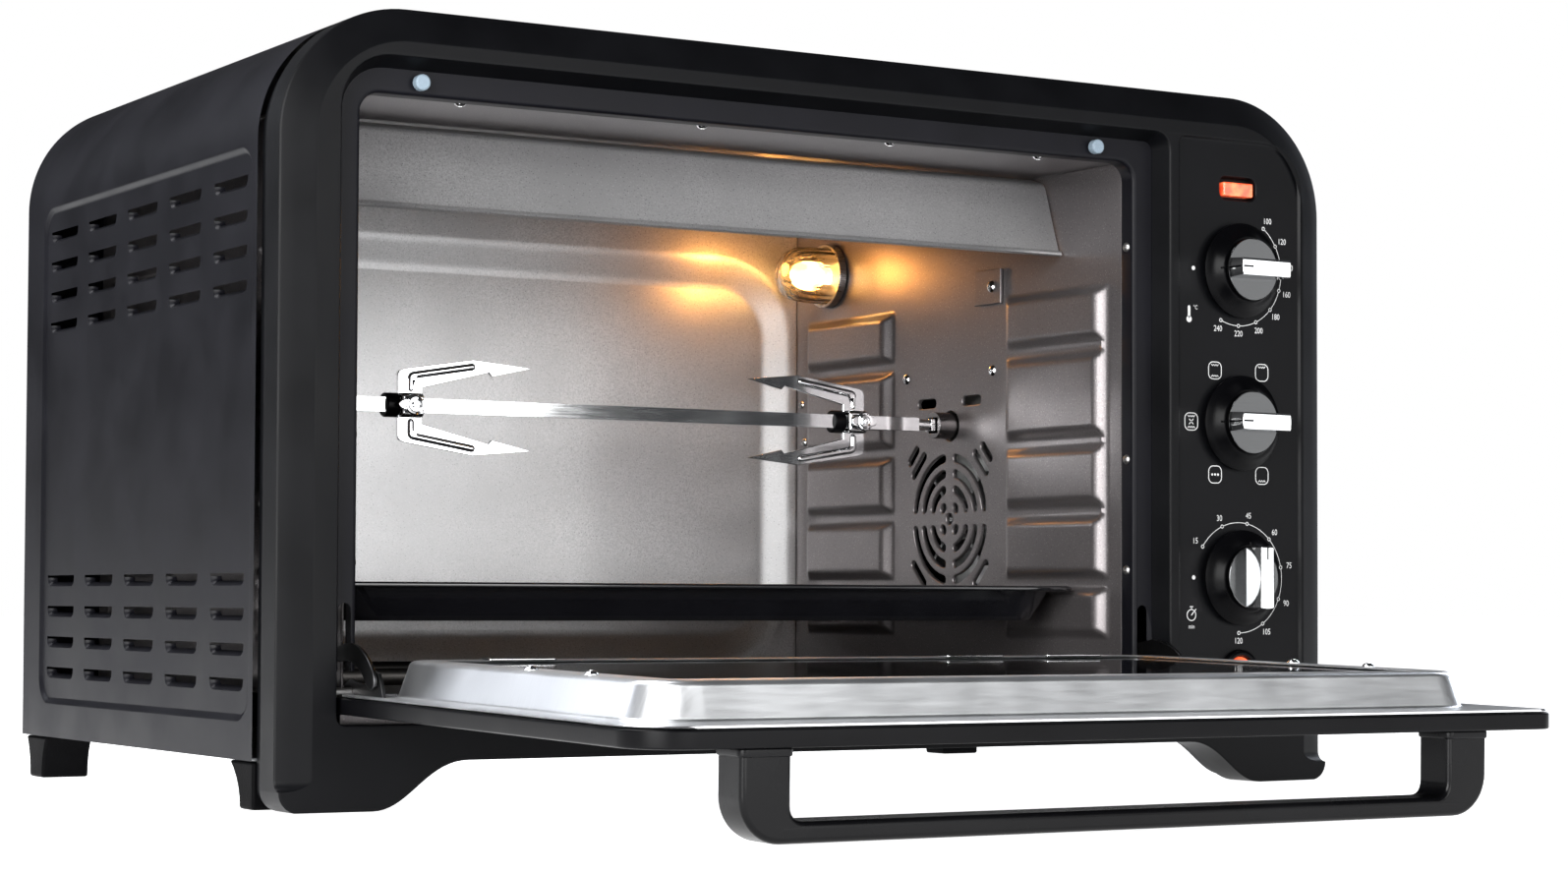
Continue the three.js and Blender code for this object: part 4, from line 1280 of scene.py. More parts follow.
    def make(self) -> None:
        """Builds and dresses the cavity."""
        self.place(self.side(False), LINER, "liner_coating", ["cavity_wall_right"])
        self.place(self.side(True), LINER, "liner_coating", ["cavity_wall_left"])
        self.place(self.rear(), BACK_LINER, "back_liner", ["cavity_back"])
        self.place(self.baffle(), BACK_LINER, "liner_coating", ["upper_baffle"])
        self.elements()
        self.lamp()
        self.place(self.fixings(), CHROME, "plate_steel")
        self.keep(LINER, "cavity_floor")
        self.keep(LINER, "cavity_ceiling")
        self.soften(LINER, "plate_steel", "sensor_plate", edge=0.3)
        self.keep(MOTOR_METAL, "fan_motor", "spit_motor")
        self.keep(FAN_METAL, "fan_wheel")


@dataclass
class Spit(Assembly):
    """The spit with its two forks and thumb screws, the drive socket and the cradle."""

    reach: float = 71.0
    collar: tuple[float, float] = (5.9, 7.0)
    thick: float = 1.1
    rib: float = 2.6
    hub: float = 13.0

    def fork(self, side: str) -> bpy.types.Object:
        """One fork: a pressed sheet with an L-shaped rib along each prong, and its hub.

        Args:
            side: left, whose prongs point to +x, or right.

        Returns:
            The fork.
        """
        upper = np.array([(12.8, 8.8), (48.4, 17.4), (50.2, 15.5), (self.reach - 0.3, 20.2), (40.0, 23.2),
                          (3.4, 17.6), (1.0, 16.6), (0.0, 14.6)])
        plate = Outline.through(np.concatenate([upper, (upper * [1, -1])[::-1]]))
        surface = Surface().prism(Plane.FRONT, plate, rim(-self.thick, self.thick, 0.25, 1))
        for mirror in (1.0, -1.0):
            rib = Outline.stroke(self.rib_line(mirror), self.rib)
            surface.prism(Plane.FRONT, rib, [
                (0.15, -self.thick + 0.1), (0.0, -self.thick - 0.3), (-0.5, -self.thick - 0.8),
                (-1.0, -self.thick - 0.95)])
        surface.prism(Plane.SIDE, Outline.rounded((-6.0, -6.0), (6.0, 6.0), 2.6, 5), rim(0.4, 12.0, 1.2))
        return surface.build(f"fork_plate_{side}", move=self.stand(side))

    @staticmethod
    def stand(side: str) -> Callable[[Array], Array]:
        """How a fork that is drawn at the origin with its prongs along +x gets to its place."""
        low, high = corners(f"fork_{side}")
        at = middle(f"fork_{side}")
        at[0] = low[0] if side == "left" else high[0]
        return lambda p: p * [1.0 if side == "left" else -1.0, 1.0, 1.0] + at

    def painted_rib_shade(self, side: str) -> bpy.types.Object:
        """A dark sliver round each rib of a fork, just proud of the sheet: painted shade and painted
        reflection for the rib's dark edges.
        """
        surface = Surface()
        for mirror in (1.0, -1.0):
            line = Outline.stroke(self.rib_line(mirror), self.rib + 1.1)
            surface.prism(Plane.FRONT, line, [(0.0, 0.2 - self.thick), (0.0, -self.thick - 0.08)])
        return surface.build(f"fork_crease_{side}", move=self.stand(side))

    @staticmethod
    def rib_line(mirror: float) -> Array:
        """The middle line of a rib: up from the hub, round a bend and out along the prong."""
        return np.concatenate([
            [(6.9, 8.0 * mirror)], bezier((6.9, 12.8 * mirror), (6.9, 14.0 * mirror),
                                          (7.1, 14.4 * mirror), (8.4, 14.7 * mirror), steps=4),
            [(39.2, 19.8 * mirror)]])

    def collar_ring(self, side: str) -> bpy.types.Object:
        """The dark collar on the shaft that each fork's hub meets on its left."""
        low, high = corners(f"fork_{side}")
        far = low[0] if side == "left" else high[0] - self.hub
        y, z = middle(f"fork_{side}")[1:]
        radius, long = self.collar
        circle = Outline.circle((y, z), radius, 28)
        return Surface().prism(Plane.SIDE, circle, rim(far - long, far, 0.7)).build(f"collar_{side}")

    def screw(self, side: str) -> bpy.types.Object:
        """A thumb screw: a stud, a ringed cap and two round wings."""
        low, high = corners(f"fork_screw_{side}")
        x, _, z = middle(f"fork_screw_{side}")
        out, seat = low[1], high[1]
        cap = [(0, seat), (2.0, seat), (2.0, out + 4.8), (4.3, out + 4.5), (5.0, out + 3.9),
               (5.0, out + 3.0), (4.4, out + 2.2), (3.6, out + 2.0), (3.4, out + 1.0), (2.4, out + 0.9),
               (2.3, out + 2.0), (1.3, out + 2.1), (1.2, out + 0.6), (0, out + 0.4)]
        surface = Surface().turned(Plane.FRONT, (x, z), cap, 28)
        wing = Outline.through(np.concatenate([
            bezier((-8.0, 0), (-7.4, 2.6), (-5.0, 2.0), (0, 4.6), steps=6),
            bezier((0, 4.6), (5.0, 2.0), (7.4, 2.6), (8.0, 0), steps=6)[1:],
            bezier((8.0, 0), (7.4, -2.6), (5.0, -2.0), (0, -4.6), steps=6)[1:],
            bezier((0, -4.6), (-5.0, -2.0), (-7.4, -2.6), (-8.0, 0), steps=6)[1:-1]])).moved(x, z)
        surface.prism(Plane.FRONT, wing, rim(out + 4.4, out + 2.6, 0.6, 2))
        return surface.build(f"thumb_screw_{side}")

    def make(self) -> None:
        """Builds and dresses the spit."""
        self.soften(CHROME, "spit_chrome", "spit_shaft", edge=0.7, body="spit")
        for side in ("left", "right"):
            self.place(self.fork(side), CHROME, "spit_chrome", [f"fork_{side}"], f"{side}_fork")
            # painted shade: a dark steel sliver round each fork rib stands for the shade and dark
            # reflection along the rib's edges
            self.place(self.painted_rib_shade(side), LINK_STEEL, "spit_chrome", body=f"{side}_fork")
            self.place(self.collar_ring(side), KNOB_PLASTIC, "spit_chrome", body=f"{side}_fork")
            self.place(self.screw(side), CHROME, "spit_chrome", [f"fork_screw_{side}"],
                       f"{side}_fork_clamp")
        self.soften(SOCKET_STEEL, "plate_steel", "drive_socket", edge=0.6, body="spit_drive")
        self.soften(SOCKET_STEEL, "plate_steel", "spit_cradle", edge=0.6)


@dataclass
class Tray(Assembly):
    """The enamelled baking tray with its rolled rim and rounded well."""

    body = "tray"
    lip: float = 7.0
    well: tuple[float, float] = (22.0, 13.2)
    corner: float = 12.0

    def make(self) -> None:
        """Lofts the tray through loops that step in and down, then thickens it."""
        low, high = corners("baking_tray")
        top, floor = high[2] - 0.05, low[2] + 0.9

        def loop(across: float, along: float, corner: float) -> Array:
            """A rounded rectangle drawn in by an amount along x and along y."""
            return Outline.rounded((low[0] + across, low[1] + along), (high[0] - across, high[1] - along),
                                   corner, 8).points

        wide, deep = self.well
        shares = [0.0, 0.06, 0.2, 0.8, 0.94, 1.0]
        loops = [loop(0.9, 0.9, 11)] + [loop(inset, inset, self.corner) for inset in (0.3, 0.1, 0.5, 1.6)]
        heights = [top - 2.6, top - 2.2, top - 1.0, top - 0.3, top]
        for share in shares:
            run = ramp(np.array(share), 0.25)
            loops.append(loop(self.lip + (wide - 3 - self.lip) * share,
                              self.lip * 0.8 + (deep - 1 - self.lip * 0.8) * share, 14))
            heights.append(float(top + (floor - top) * run))
        surface = Surface().loft(Plane.TOP, loops, heights)
        surface.sheet(Plane.TOP, loops[-1], (), heights[-1])
        piece = surface.build("tray_pressing", facing=(0, 0, 1), thick=0.8, sharp=45.0)
        self.place(piece, ENAMEL, "tray_enamel", ["baking_tray"])


class Pictogram(Enum):
    """What a cooking symbol shows inside its frame: waves on top, below, both, a fan or dots.

    They are listed in the order in which they stand round the dial.
    """

    BOTH = "both"
    TOP = "top"
    FAN_ALL = "fan_all"
    DOTS = "dots"
    BELOW = "below"


@dataclass
class Dial:
    """One dial: which body it is, the angles of its marks and their words."""

    name: str
    marks: tuple[tuple[float, str], ...] = ()
    arc: tuple[float, float] | None = None
    turned: float = 0.0


@dataclass
class Controls(Assembly):
    """The three dials with their printed marks, the pilot lens and the round lens in its ring."""

    dish: tuple[float, float] = (23.4, 16.7)
    disc: float = 15.4
    blade: tuple[float, float] = (8.2, 9.6)
    front: float = -20.9
    mark_radius: float = 27.2
    ink_depth: float = 1.33
    line: float = 0.42

    def __post_init__(self) -> None:
        """Lists the dials and reads where they are."""
        hot = [(126, "100"), (150, "120"), (174, "140"), (198, "160"), (222, "180"), (246, "200"),
               (270, "220"), (294, "240")]
        time = [(33.75 * n, str(15 * n)) for n in range(1, 9)]
        self.dials = (Dial("thermostat", tuple(hot), (126, 294)),
                      Dial("function"),
                      Dial("timer", tuple(time), (33.75, 270), 90.0))

    def skirt(self, dial: Dial) -> bpy.types.Object:
        """The dial's black skirt: a hollow-cheeked cone with a rounded foot and a notch line."""
        x, _, z = middle(f"{dial.name}_knob")
        wide, narrow = self.dish
        cheek = np.linspace(0, 1, 9)
        cone = [(wide - (wide - narrow) * (t ** 0.8), -2.6 - 5.1 * t ** 1.25) for t in cheek]
        steps = [(0, -0.5), (wide - 0.9, -0.5), (wide, -0.9), (wide, -2.0), *cone[1:],
                 (narrow - 0.5, -8.0), (0, -8.0)]
        surface = Surface().turned(Plane.FRONT, (x, z), steps, 72)
        notch = Outline.rounded((-17.6, -0.5), (-15.0, 0.5), 0.3, 2).moved(0, 0, -dial.turned).moved(x, z)
        surface.prism(Plane.FRONT, notch, [(0.0, -6.0), (0.0, -8.1), (-0.15, -8.3)])
        return surface.build(f"{dial.name}_skirt", sharp=30.0)

    def plate(self, dial: Dial) -> bpy.types.Object:
        """The disc under the blade: chrome a little rougher than the blade's, its colour darkened as
        painted shade for its dark reflection.
        """
        x, _, z = middle(f"{dial.name}_grip")
        return Surface().prism(Plane.FRONT, Outline.circle((x, z), self.disc, 64),
                               rim(-8.3, -10.4, 0.5, 3)).build(f"{dial.name}_plate", sharp=30.0)

    def grip(self, dial: Dial) -> bpy.types.Object:
        """The chrome blade: it tapers forward, and its ends follow the disc."""
        x, _, z = middle(f"{dial.name}_grip")
        surface = Surface()
        thin, wide = self.blade
        long = self.disc - 0.1
        loops, depths = [], []
        for share, inset in ((0.0, 0.0), (0.1, 0.0), (0.95, 0.0), (0.985, 0.18), (1.0, 0.6)):
            half = (wide + (thin - wide) * share) / 2 - inset
            end = math.asin(half / long)
            turn = np.linspace(-end, end, 9)
            cap = np.stack([np.cos(turn), np.sin(turn)], 1) * (long - inset)
            loops.append(Outline(np.concatenate([cap, -cap]), np.zeros((18, 2))).moved(
                0, 0, -dial.turned).moved(x, z).points)
            depths.append(-10.2 + (self.front + 10.2) * share)
        surface.loft(Plane.FRONT, loops, depths)
        surface.sheet(Plane.FRONT, loops[-1], (), depths[-1])
        surface.sheet(Plane.FRONT, loops[0], (), depths[0])
        return surface.build(f"{dial.name}_grip_chrome", sharp=30.0)

    def pointer(self, dial: Dial) -> bpy.types.Object:
        """The dark groove at the blade's pointer end, down its end and along its face."""
        x, _, z = middle(f"{dial.name}_grip")
        face = Outline.rounded((-self.disc + 0.6, -0.45), (-8.6, 0.45), 0.3, 2).moved(0, 0, -dial.turned)
        surface = Surface().prism(Plane.FRONT, face.moved(x, z),
                                  rim(self.front + 0.5, self.front - 0.06, 0.05, 1))
        end = Outline.rounded((-self.disc - 0.02, -0.45), (-self.disc + 0.5, 0.45), 0.1, 2)
        end = end.moved(0, 0, -dial.turned)
        surface.prism(Plane.FRONT, end.moved(x, z), [(0, -10.5), (0, self.front + 0.6)])
        return surface.build(f"{dial.name}_pointer")

    def around(self, degrees: float, radius: float) -> Array:
        """A place round a dial: clockwise from nine o'clock."""
        angle = math.radians(180 - degrees)
        return radius * np.array([math.cos(angle), math.sin(angle)])

    def stroke(self, surface: Surface, path: Sequence[Sequence[float]] | Array, at: Array,
               width: float = 0.0) -> None:
        """Prints a line along a path that is drawn about a place."""
        line = Outline.stroke(np.asarray(path, float) + at, width or self.line, 3)
        surface.prism(Plane.FRONT, line, [(0, self.ink_depth + 0.08), (0, self.ink_depth)])

    def loop(self, surface: Surface, outline: Outline, width: float = 0.0) -> None:
        """Prints an outline."""
        wide = (width or self.line) / 2
        steps = [(wide, self.ink_depth + 0.08), (wide, self.ink_depth), (-wide, self.ink_depth),
                 (-wide, self.ink_depth + 0.08), (wide, self.ink_depth + 0.08)]
        surface.ring(Plane.FRONT, outline, steps)

    def dot(self, surface: Surface, at: Array, radius: float) -> None:
        """Prints a round dot."""
        surface.prism(Plane.FRONT, Outline.circle(at, radius, 20),
                      [(0, self.ink_depth + 0.08), (0, self.ink_depth)])

    def pictogram(self, surface: Surface, kind: Pictogram, at: Array) -> None:
        """Prints a cooking symbol: a rounded frame with what it holds."""
        self.loop(surface, Outline.rounded(at - [4.0, 4.2], at + [4.0, 4.2], 2.7, 6))
        wave = np.array([(-2.1, 0), (-1.4, 0.7), (-0.7, 0), (0, 0.7), (0.7, 0), (1.4, 0.7), (2.1, 0)])
        if kind in (Pictogram.BOTH, Pictogram.TOP, Pictogram.FAN_ALL):
            self.stroke(surface, wave * [1, -1] + [0, 3.0], at)
        if kind in (Pictogram.BOTH, Pictogram.BELOW, Pictogram.FAN_ALL):
            self.stroke(surface, wave - [0, 3.0], at)
        if kind is Pictogram.DOTS:
            for across in (-1.8, 0.0, 1.8):
                self.dot(surface, at + [across, 0], 0.6)
        if kind is Pictogram.FAN_ALL:
            for turn in (45, 135, 225, 315):
                way = np.array([math.cos(math.radians(turn)), math.sin(math.radians(turn))])
                self.stroke(surface, [way * 0.5, way * 1.7], at)

    def scale_marks(self, dial: Dial) -> Surface:
        """The marks of a dial with numbers: an arc, small rings, numbers, an off dot and a symbol."""
        x, _, z = middle(f"{dial.name}_knob")
        at = np.array([x, z])
        surface = Surface()
        start, end = dial.arc
        step = (end - start) / (len(dial.marks) - 1)
        gap = math.degrees(0.95 / self.mark_radius)
        for index, (turn, words) in enumerate(dial.marks):
            spot = at + self.around(turn, self.mark_radius)
            self.loop(surface, Outline.circle(spot, 0.8, 20), 0.36)
            reach = self.mark_radius + 3.1 + 1.7 * abs(math.cos(math.radians(turn)))
            surface.text(words, at + self.around(turn, reach + 0.7), 2.9, self.ink_depth)
            if index < len(dial.marks) - 1:
                turns = np.linspace(turn + gap, turn + step - gap, 12)
                self.stroke(surface, np.stack([self.around(t, self.mark_radius) for t in turns]), at, 0.32)
        self.dot(surface, at + self.around(0, 28.2), 1.05)
        return surface

    def marks(self) -> None:
        """Prints the marks of all three dials."""
        dots = {dial.name: dial for dial in self.dials}
        hot = self.scale_marks(dots["thermostat"])
        x, _, z = middle("thermostat_knob")
        low = np.array([x - 30.9, z - 22.6])
        self.stroke(hot, [(0, -1.4), (0, 3.4)], low, 1.5)
        self.dot(hot, low - [0, 2.6], 1.6)
        hot.text("°C", low + [4.0, 3.4], 2.0, self.ink_depth)
        self.place(hot.build("thermostat_marks"), INK)
        x, _, z = middle("function_knob")
        icons = Surface()
        for turn, kind in zip((60, 120, 0, 300, 240), Pictogram):
            self.pictogram(icons, kind, np.array([x, z]) + self.around(turn, 29.6))
        self.place(icons.build("function_marks"), INK)
        time = self.scale_marks(dots["timer"])
        x, _, z = middle("timer_knob")
        watch = np.array([x - 29.6, z - 18.4])
        self.loop(time, Outline.circle(watch, 2.7, 28))
        for line in ([(-0.9, 4.1), (0.9, 4.1)], [(0, 2.9), (0, 4.0)], [(2.1, 2.2), (2.8, 2.9)],
                     [(0, 0), (1.5, 1.6)]):
            self.stroke(time, line, watch)
        time.text("min", watch - [0, 5.6], 2.1, self.ink_depth)
        self.place(time.build("timer_marks"), INK)

    def lenses(self) -> None:
        """The pilot lens, and the round lens in its glossy ring."""
        low, high = corners("indicator_lens")
        lens = Outline.rounded((low[0], low[2]), (high[0], high[2]), 0.8, 3)
        self.place(Surface().prism(Plane.FRONT, lens, rim(low[1], high[1], 0.7)).build("pilot_lens"),
                   RED_LENS, "red_lens", ["indicator_lens"])
        low, high = corners("round_lens")
        at = middle("round_lens")[[0, 2]]
        radius = (high[0] - low[0]) / 2
        dome = [(0, low[1]), (radius * 0.5, low[1] + 0.15), (radius * 0.85, low[1] + 0.7),
                (radius * 0.97, low[1] + 1.5), (radius, low[1] + 2.6), (radius, high[1]), (0, high[1])]
        self.place(Surface().turned(Plane.FRONT, at, dome, 48).build("round_lens_dome"), RED_LENS,
                   "red_lens", ["round_lens"])
        ring = [(8.2, 1.3), (8.2, -0.4), (8.7, -1.2), (9.8, -1.5), (10.9, -1.1), (11.4, -0.2), (11.5, 1.3),
                (8.2, 1.3)]
        self.place(Surface().turned(Plane.FRONT, at, ring, 56).build("round_lens_ring"), KNOB_PLASTIC,
                   "dial_plastic")

    def make(self) -> None:
        """Builds and dresses the controls."""
        for dial in self.dials:
            body = f"{dial.name}_dial"
            self.place(self.skirt(dial), KNOB_PLASTIC, "dial_plastic", [f"{dial.name}_knob"], body)
            self.place(self.grip(dial), CHROME, "grip_chrome", [f"{dial.name}_grip"], body)
            self.place(self.plate(dial), SHADED_DISC_CHROME, "grip_chrome", body=body)
            self.place(self.pointer(dial), KNOB_PLASTIC, "dial_plastic", body=body)
            self.keep(MOTOR_METAL, f"{dial.name}_body")
        self.marks()
        self.lenses()


@dataclass
class Door(Assembly):
    """The door, drawn shut: panel, outer glass, pressed inner pan, inner glass, clips and handle."""

    body = "door"
    panel: tuple[float, float, float, float] = (-252.0, 179.6, 40.6, 316.0)
    panel_corners: tuple[float, ...] = (21.5, 8.0, 2.0, 2.0)
    face: float = -4.0
    thickness: float = 7.0
    window: tuple[float, float, float, float] = (-192.0, 119.0, 88.0, 272.0)
    pan: tuple[float, float, float, float] = (-236.0, 163.0, 57.6, 290.6)
    pan_corner: float = 24.0
    pan_height: float = 16.0
    pan_lean: float = 3.6
    rim_width: float = 19.0
    grip: tuple[float, float, float, float] = (-211.6, 142.6, 295.6, 313.6)
    grip_reach: float = 34.5
    grip_bar: float = 8.0
    grip_leg: float = 21.0

    def __post_init__(self) -> None:
        """Reads the hinge and its range from the frame."""
        self.hinge = pivot("door_hinge")
        joint = next(j for j in frame["joints"] if j["name"] == "door_hinge")
        self.open_angle = max(joint["range_deg"])
        self.inner = self.face + self.thickness

    def swing(self, points: Array) -> Array:
        """Turns shut points about the hinge to where the frame holds the door open."""
        c, s = math.cos(math.radians(self.open_angle)), math.sin(math.radians(self.open_angle))
        arm = points - self.hinge
        turned = np.stack([arm[:, 0], arm[:, 1] * c - arm[:, 2] * s, arm[:, 1] * s + arm[:, 2] * c], 1)
        return turned + self.hinge

    def leaf(self) -> bpy.types.Object:
        """The black outer panel with its window opening."""
        x0, x1, z0, z1 = self.panel
        outline = Outline.rounded((x0, z0), (x1, z1), self.panel_corners, 10)
        x0, x1, z0, z1 = self.window
        window = Outline.rounded((x0, z0), (x1, z1), 10, 8)
        return Surface().prism(Plane.FRONT, outline, rim(self.face, self.inner, 0.9), [window]).build(
            "door_leaf", move=self.swing)

    def pane(self, name: str, box: Sequence[float], inset: float, front: float, rear: float,
             corner: float) -> bpy.types.Object:
        """A sheet of glass with ground edges."""
        x0, x1, z0, z1 = box
        outline = Outline.rounded((x0 + inset, z0 + inset), (x1 - inset, z1 - inset), corner, 8)
        return Surface().prism(Plane.FRONT, outline, rim(front, rear, 0.5, 2)).build(name, move=self.swing)

    def pressing(self) -> bpy.types.Object:
        """The inner pan: a flange, a leaning wall with round bends and a rim round the glass."""
        x0, x1, z0, z1 = self.pan
        outline = Outline.rounded((x0, z0), (x1, z1), self.pan_corner, 14)
        seat, top = self.inner + 1.3, self.inner + self.pan_height
        lean = self.pan_lean
        bend = quarter(0, 90, 5)
        foot = [(1.6 * (1 - math.sin(a)), seat + 1.6 * (1 - math.cos(a))) for a in bend]
        crown = [(-lean - 3.0 * (1 - math.cos(a)), top - 3.0 * (1 - math.sin(a))) for a in bend]
        steps = foot + crown + [(-self.rim_width, top)]
        px0, px1, _, pz1 = self.panel
        flange = Outline.rounded((px0 + 0.8, z0 - 6), (px1 - 0.8, pz1 - 0.8), (21.0, 8.0, 2.0, 2.0), 8)
        surface = Surface().sheet(Plane.FRONT, flange.points, [outline.grown(1.6)], seat)
        surface.ring(Plane.FRONT, outline, steps)
        return surface.build("pan_pressing", move=self.swing, facing=(0, -0.1, 1), thick=0.8, sharp=40.0)

    def clips(self) -> bpy.types.Object:
        """Flat clips along the hinge side, and screws by the other edges, that hold the inner glass."""
        x0, x1, z0, z1 = self.pan
        top = self.inner + self.pan_height
        surface = Surface()
        for x in (x0 + 56, x1 - 112, x1 - 56):
            z = z0 + self.rim_width - 3
            tab = Outline.rounded((x - 16, z - 4), (x + 16, z + 5), 1.5, 4)
            surface.prism(Plane.FRONT, tab, rim(top + 0.02, top + 0.8, 0.3, 2))
        for x, z in ((x0 + 9, z1 - 112), (x0 + 9, z1 - 62), (x1 - 9, z1 - 112), (x1 - 9, z1 - 62)):
            screw_head(surface, Plane.FRONT, (x, z), top, 1.0, 2.9)
        return surface.build("glass_clips", move=self.swing)

    def handle(self) -> bpy.types.Object:
        """The bow handle: a U drawn from above with round outer corners, its rims rounded."""
        x0, x1, z0, z1 = self.grip
        back, front = self.face - 0.3, self.face - self.grip_reach
        bar, leg, corner, chamfer = front + self.grip_bar, self.grip_leg, 17.0, 6.0
        turn = quarter(180, 270, 12)
        left = np.stack([np.cos(turn), np.sin(turn)], 1) * corner + [x0 + corner, front + corner]
        turn = quarter(270, 360, 12)
        right = np.stack([np.cos(turn), np.sin(turn)], 1) * corner + [x1 - corner, front + corner]
        inner_right = bezier((x1 - leg, bar + chamfer), (x1 - leg, bar + 2), (x1 - leg - 2, bar),
                             (x1 - leg - chamfer, bar), steps=6)
        inner_left = bezier((x0 + leg + chamfer, bar), (x0 + leg + 2, bar), (x0 + leg, bar + 2),
                            (x0 + leg, bar + chamfer), steps=6)
        outline = Outline.through(np.concatenate([
            [(x0, back)], left, right, [(x1, back), (x1 - leg, back)], inner_right, inner_left,
            [(x0 + leg, back)]]))
        return Surface().prism(Plane.TOP, outline, rim(z0, z1, 2.2, 4)).build("bow_handle", move=self.swing)

    def collars(self) -> bpy.types.Object:
        """The stepped collars where the handle's legs meet the panel."""
        x0, x1, z0, z1 = self.grip
        surface = Surface()
        for low in (x0, x1 - self.grip_leg):
            foot = Outline.rounded((low - 0.9, z0 - 0.9), (low + self.grip_leg + 0.9, z1 + 0.9), 3.2, 5)
            surface.prism(Plane.FRONT, foot, rim(self.face + 0.05, self.face - 3.2, 0.8))
        return surface.build("handle_collars", move=self.swing)

    def make(self) -> None:
        """Builds and dresses the door and its hinges."""
        self.place(self.leaf(), DOOR_PLASTIC, "door_black", ["door_panel"])
        self.place(self.pane("window_glass", self.window, 0.3, self.face + 0.5, self.face + 4.4, 9.6),
                   DOOR_GLASS, "door_glass", ["door_outer_glass"])
        self.place(self.pressing(), ALUMINIUM, "pan_aluminium", ["door_pan"])
        self.place(self.pane("pan_glass", self.pan, 12.0, self.inner + 11.2, self.inner + 15.1, 10.0),
                   DARK_GLASS, "door_glass", ["door_inner_glass"])
        self.place(self.clips(), CHROME, "hinge_steel")
        self.place(self.handle(), HANDLE_PLASTIC, "handle_plastic", ["door_handle"])
        self.place(self.collars(), HANDLE_PLASTIC, "handle_plastic")
        self.soften(LINK_STEEL, "hinge_steel", "hinge_bracket_left", "hinge_bracket_right", edge=0.35)
        for side in ("left", "right"):
            self.soften(LINK_STEEL, "hinge_steel", f"hinge_link_{side}", edge=0.35, body=f"link_{side}")
            self.soften(SATIN_STEEL, "hinge_steel", f"hinge_pin_{side}", edge=0.3, body="oven_body")


# ---- studio -----------------------------------------------------------------
@dataclass
class Panel:
    """A rectangular soft light: where it stands, what it looks at, its size, power and colour."""

    name: str
    at: tuple[float, float, float]
    towards: tuple[float, float, float]
    size: tuple[float, float]
    power: float
    colour: tuple[float, float, float] = (1.0, 1.0, 1.0)


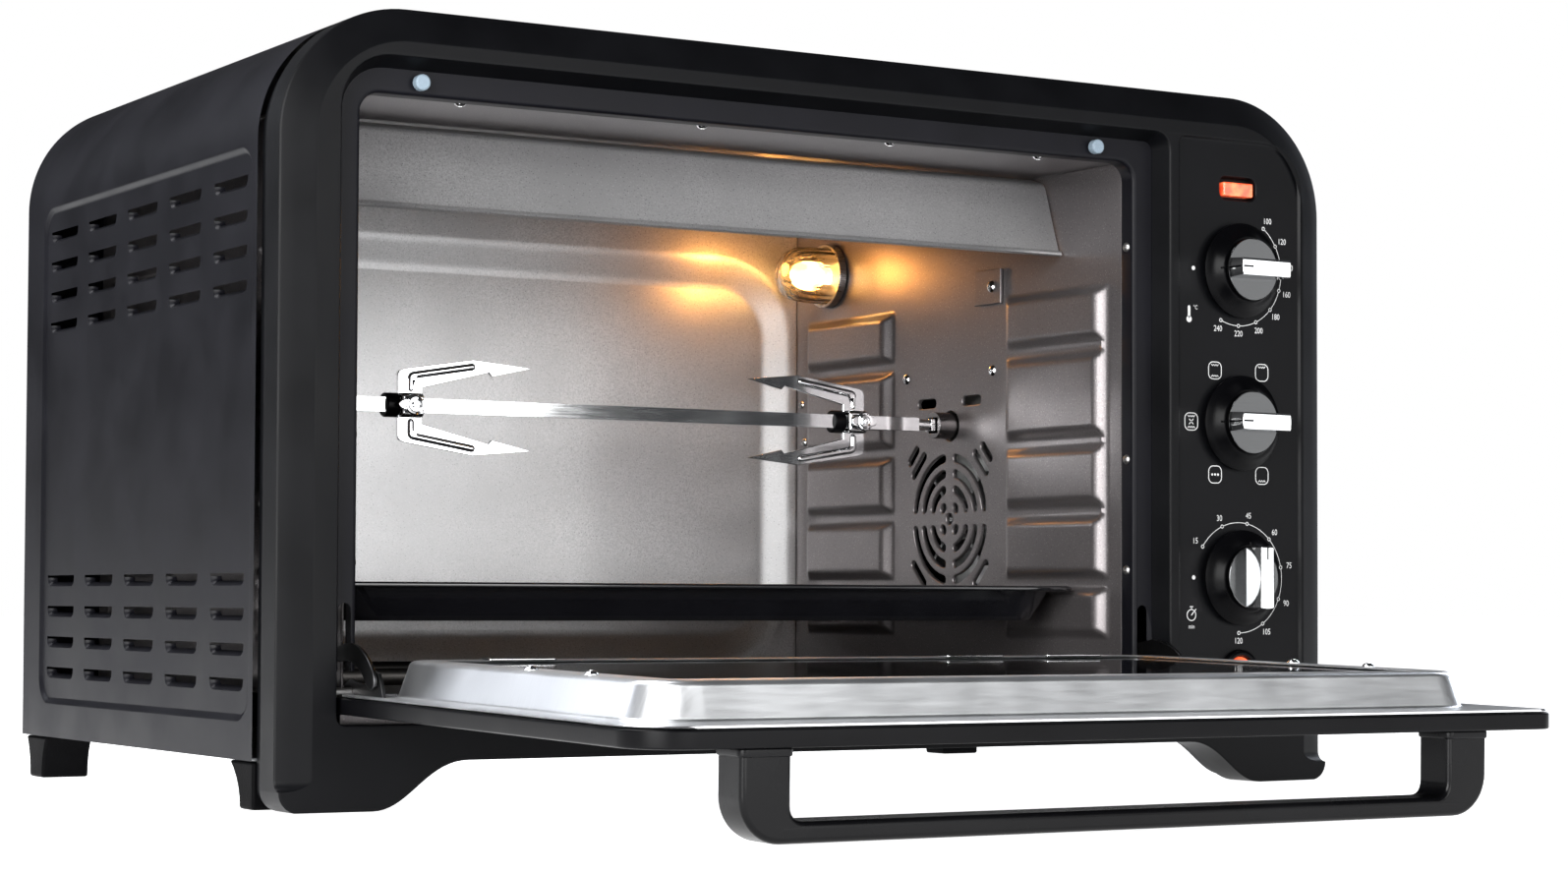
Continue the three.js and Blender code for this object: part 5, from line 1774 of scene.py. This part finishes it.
@dataclass
class Studio:
    """Camera, pale floor, white surroundings and soft lights."""

    stand: tuple[float, float, float] = (-0.78233, -1.26951, 0.0894)
    turned: float = 31.09
    raised: float = 2.15
    leaning: float = 0.22
    lens: float = 73.13
    shift: tuple[float, float] = (0.00498, 0.02687)
    seen: float = 1.0
    fill: float = 0.05
    panels: tuple[Panel, ...] = (
        Panel("left_panel", (-2.3, -1.75, 0.7), (0.0, 0.0, 0.2), (1.6, 2.2), 190.0),
        Panel("front_panel", (0.3, -2.7, 0.55), (0.0, 0.0, 0.15), (2.0, 1.1), 40.0),
        Panel("right_front_panel", (2.25, -2.3, 0.5), (0.2, 0.0, 0.15), (1.0, 0.9), 6.0),
        Panel("top_panel", (-0.9, 0.5, 2.0), (-0.25, 0.0, 0.3), (1.2, 1.2), 46.0, (0.97, 0.97, 1.0)),
        Panel("rear_rim_panel", (-1.7, 1.9, 1.5), (-0.28, 0.1, 0.3), (0.7, 1.6), 18.0, (0.9, 0.93, 1.0)),
        Panel("right_rim_panel", (2.2, 0.6, 0.8), (0.28, 0.0, 0.2), (0.6, 1.8), 18.0, (0.85, 0.9, 1.0)),
    )
    lamps: tuple[tuple[str, str, tuple[float, float, float], float], ...] = (
        ("lamp_over_light", "SPOT", (-0.12, -0.198, 0.02), 0.1),
        ("lamp_light", "POINT", (0.004, 0.0, 0.0), 0.16),
        ("lamp_tip_light", "POINT", (-0.026, 0.0, 0.004), 0.14))

    def camera(self) -> None:
        """Places the camera from its turn, rise and lean."""
        turn, rise, lean = (math.radians(a) for a in (self.turned, self.raised, self.leaning))
        ahead = Vector((math.sin(turn) * math.cos(rise), math.cos(turn) * math.cos(rise), math.sin(rise)))
        right = Vector((math.cos(turn), -math.sin(turn), 0.0))
        up = right.cross(ahead)
        across = right * math.cos(lean) + up * math.sin(lean)
        upward = up * math.cos(lean) - right * math.sin(lean)
        data = bpy.data.cameras.new("camera")
        data.sensor_width, data.lens = 36.0, self.lens
        data.shift_x, data.shift_y = self.shift
        data.clip_start, data.clip_end = 0.02, 100.0
        camera = bpy.data.objects.new("camera", data)
        bpy.context.scene.collection.objects.link(camera)
        camera.matrix_world = Matrix.Translation(self.stand) @ Matrix(
            (across, upward, -ahead)).transposed().to_4x4()
        bpy.context.scene.camera = camera

    def surroundings(self) -> None:
        """A world that is white to the eye and dimmer as a light."""
        world = bpy.data.worlds.new("surroundings")
        world.use_nodes = True
        tree = world.node_tree
        tree.nodes.clear()
        path = tree.nodes.new("ShaderNodeLightPath")
        seen, light = (tree.nodes.new("ShaderNodeBackground") for _ in range(2))
        seen.inputs["Color"].default_value = (1, 1, 1, 1)
        seen.inputs["Strength"].default_value = self.seen
        light.inputs["Color"].default_value = (0.93, 0.95, 1.0, 1)
        light.inputs["Strength"].default_value = self.fill
        mix, end = tree.nodes.new("ShaderNodeMixShader"), tree.nodes.new("ShaderNodeOutputWorld")
        tree.links.new(path.outputs["Is Camera Ray"], mix.inputs[0])
        tree.links.new(light.outputs[0], mix.inputs[1])
        tree.links.new(seen.outputs[0], mix.inputs[2])
        tree.links.new(mix.outputs[0], end.inputs["Surface"])
        bpy.context.scene.world = world

    def floor(self) -> None:
        """A plain pale floor just under the feet."""
        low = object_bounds()[0]
        reach = 12.0
        mesh = bpy.data.meshes.new("floor")
        mesh.from_pydata([(x, y, low.z - 0.0002) for x, y in (
            (-reach, -reach), (reach, -reach), (reach, reach), (-reach, reach))], [], [(0, 1, 2, 3)])
        floor = bpy.data.objects.new("floor", mesh)
        bpy.context.scene.collection.objects.link(floor)
        graph = Graph("floor_paper")
        grain = graph.noise(3.0, 3.0)
        mesh.materials.append(graph.shader({
            "Base Color": graph.mix(grain, (0.86, 0.86, 0.86), (0.9, 0.9, 0.9)), "Roughness": 0.9,
            "Specular IOR Level": 0.1, "Emission Color": (1, 1, 1), "Emission Strength": 1.0}))
        floor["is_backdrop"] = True

    def lights(self) -> None:
        """The soft panels, and the warm light that the oven's lamp throws on its liner."""
        for panel in self.panels:
            data = bpy.data.lights.new(panel.name, "AREA")
            data.shape = "RECTANGLE"
            data.size, data.size_y = panel.size
            data.energy, data.color = panel.power, panel.colour
            light = bpy.data.objects.new(panel.name, data)
            bpy.context.scene.collection.objects.link(light)
            light.location = panel.at
            aim = Vector(panel.towards) - Vector(panel.at)
            light.rotation_euler = aim.to_track_quat("-Z", "Y").to_euler()
        centre = sum(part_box("lamp_bulb"), Vector()) / 2
        for name, kind, shift, power in self.lamps:
            data = bpy.data.lights.new(name, kind)
            data.energy, data.color, data.shadow_soft_size = power, (1.0, 0.4, 0.08), 0.008
            light = bpy.data.objects.new(name, data)
            bpy.context.scene.collection.objects.link(light)
            light.location = centre + Vector(shift)
            light.rotation_euler = (math.pi, 0.0, 0.0)

    def make(self) -> None:
        """Sets up the studio."""
        bpy.context.scene.view_settings.view_transform = "Standard"
        self.camera()
        self.surroundings()
        self.floor()
        self.lights()


def main() -> None:
    """Builds every sub-assembly round the frame, then the studio."""
    logging.basicConfig(level=logging.INFO, format="%(name)s: %(message)s")
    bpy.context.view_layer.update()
    for assembly in (Casing(), Cavity(), Spit(), Tray(), Controls(), Door()):
        assembly.make()
    Studio().make()


if __name__ == "__main__":
    main()
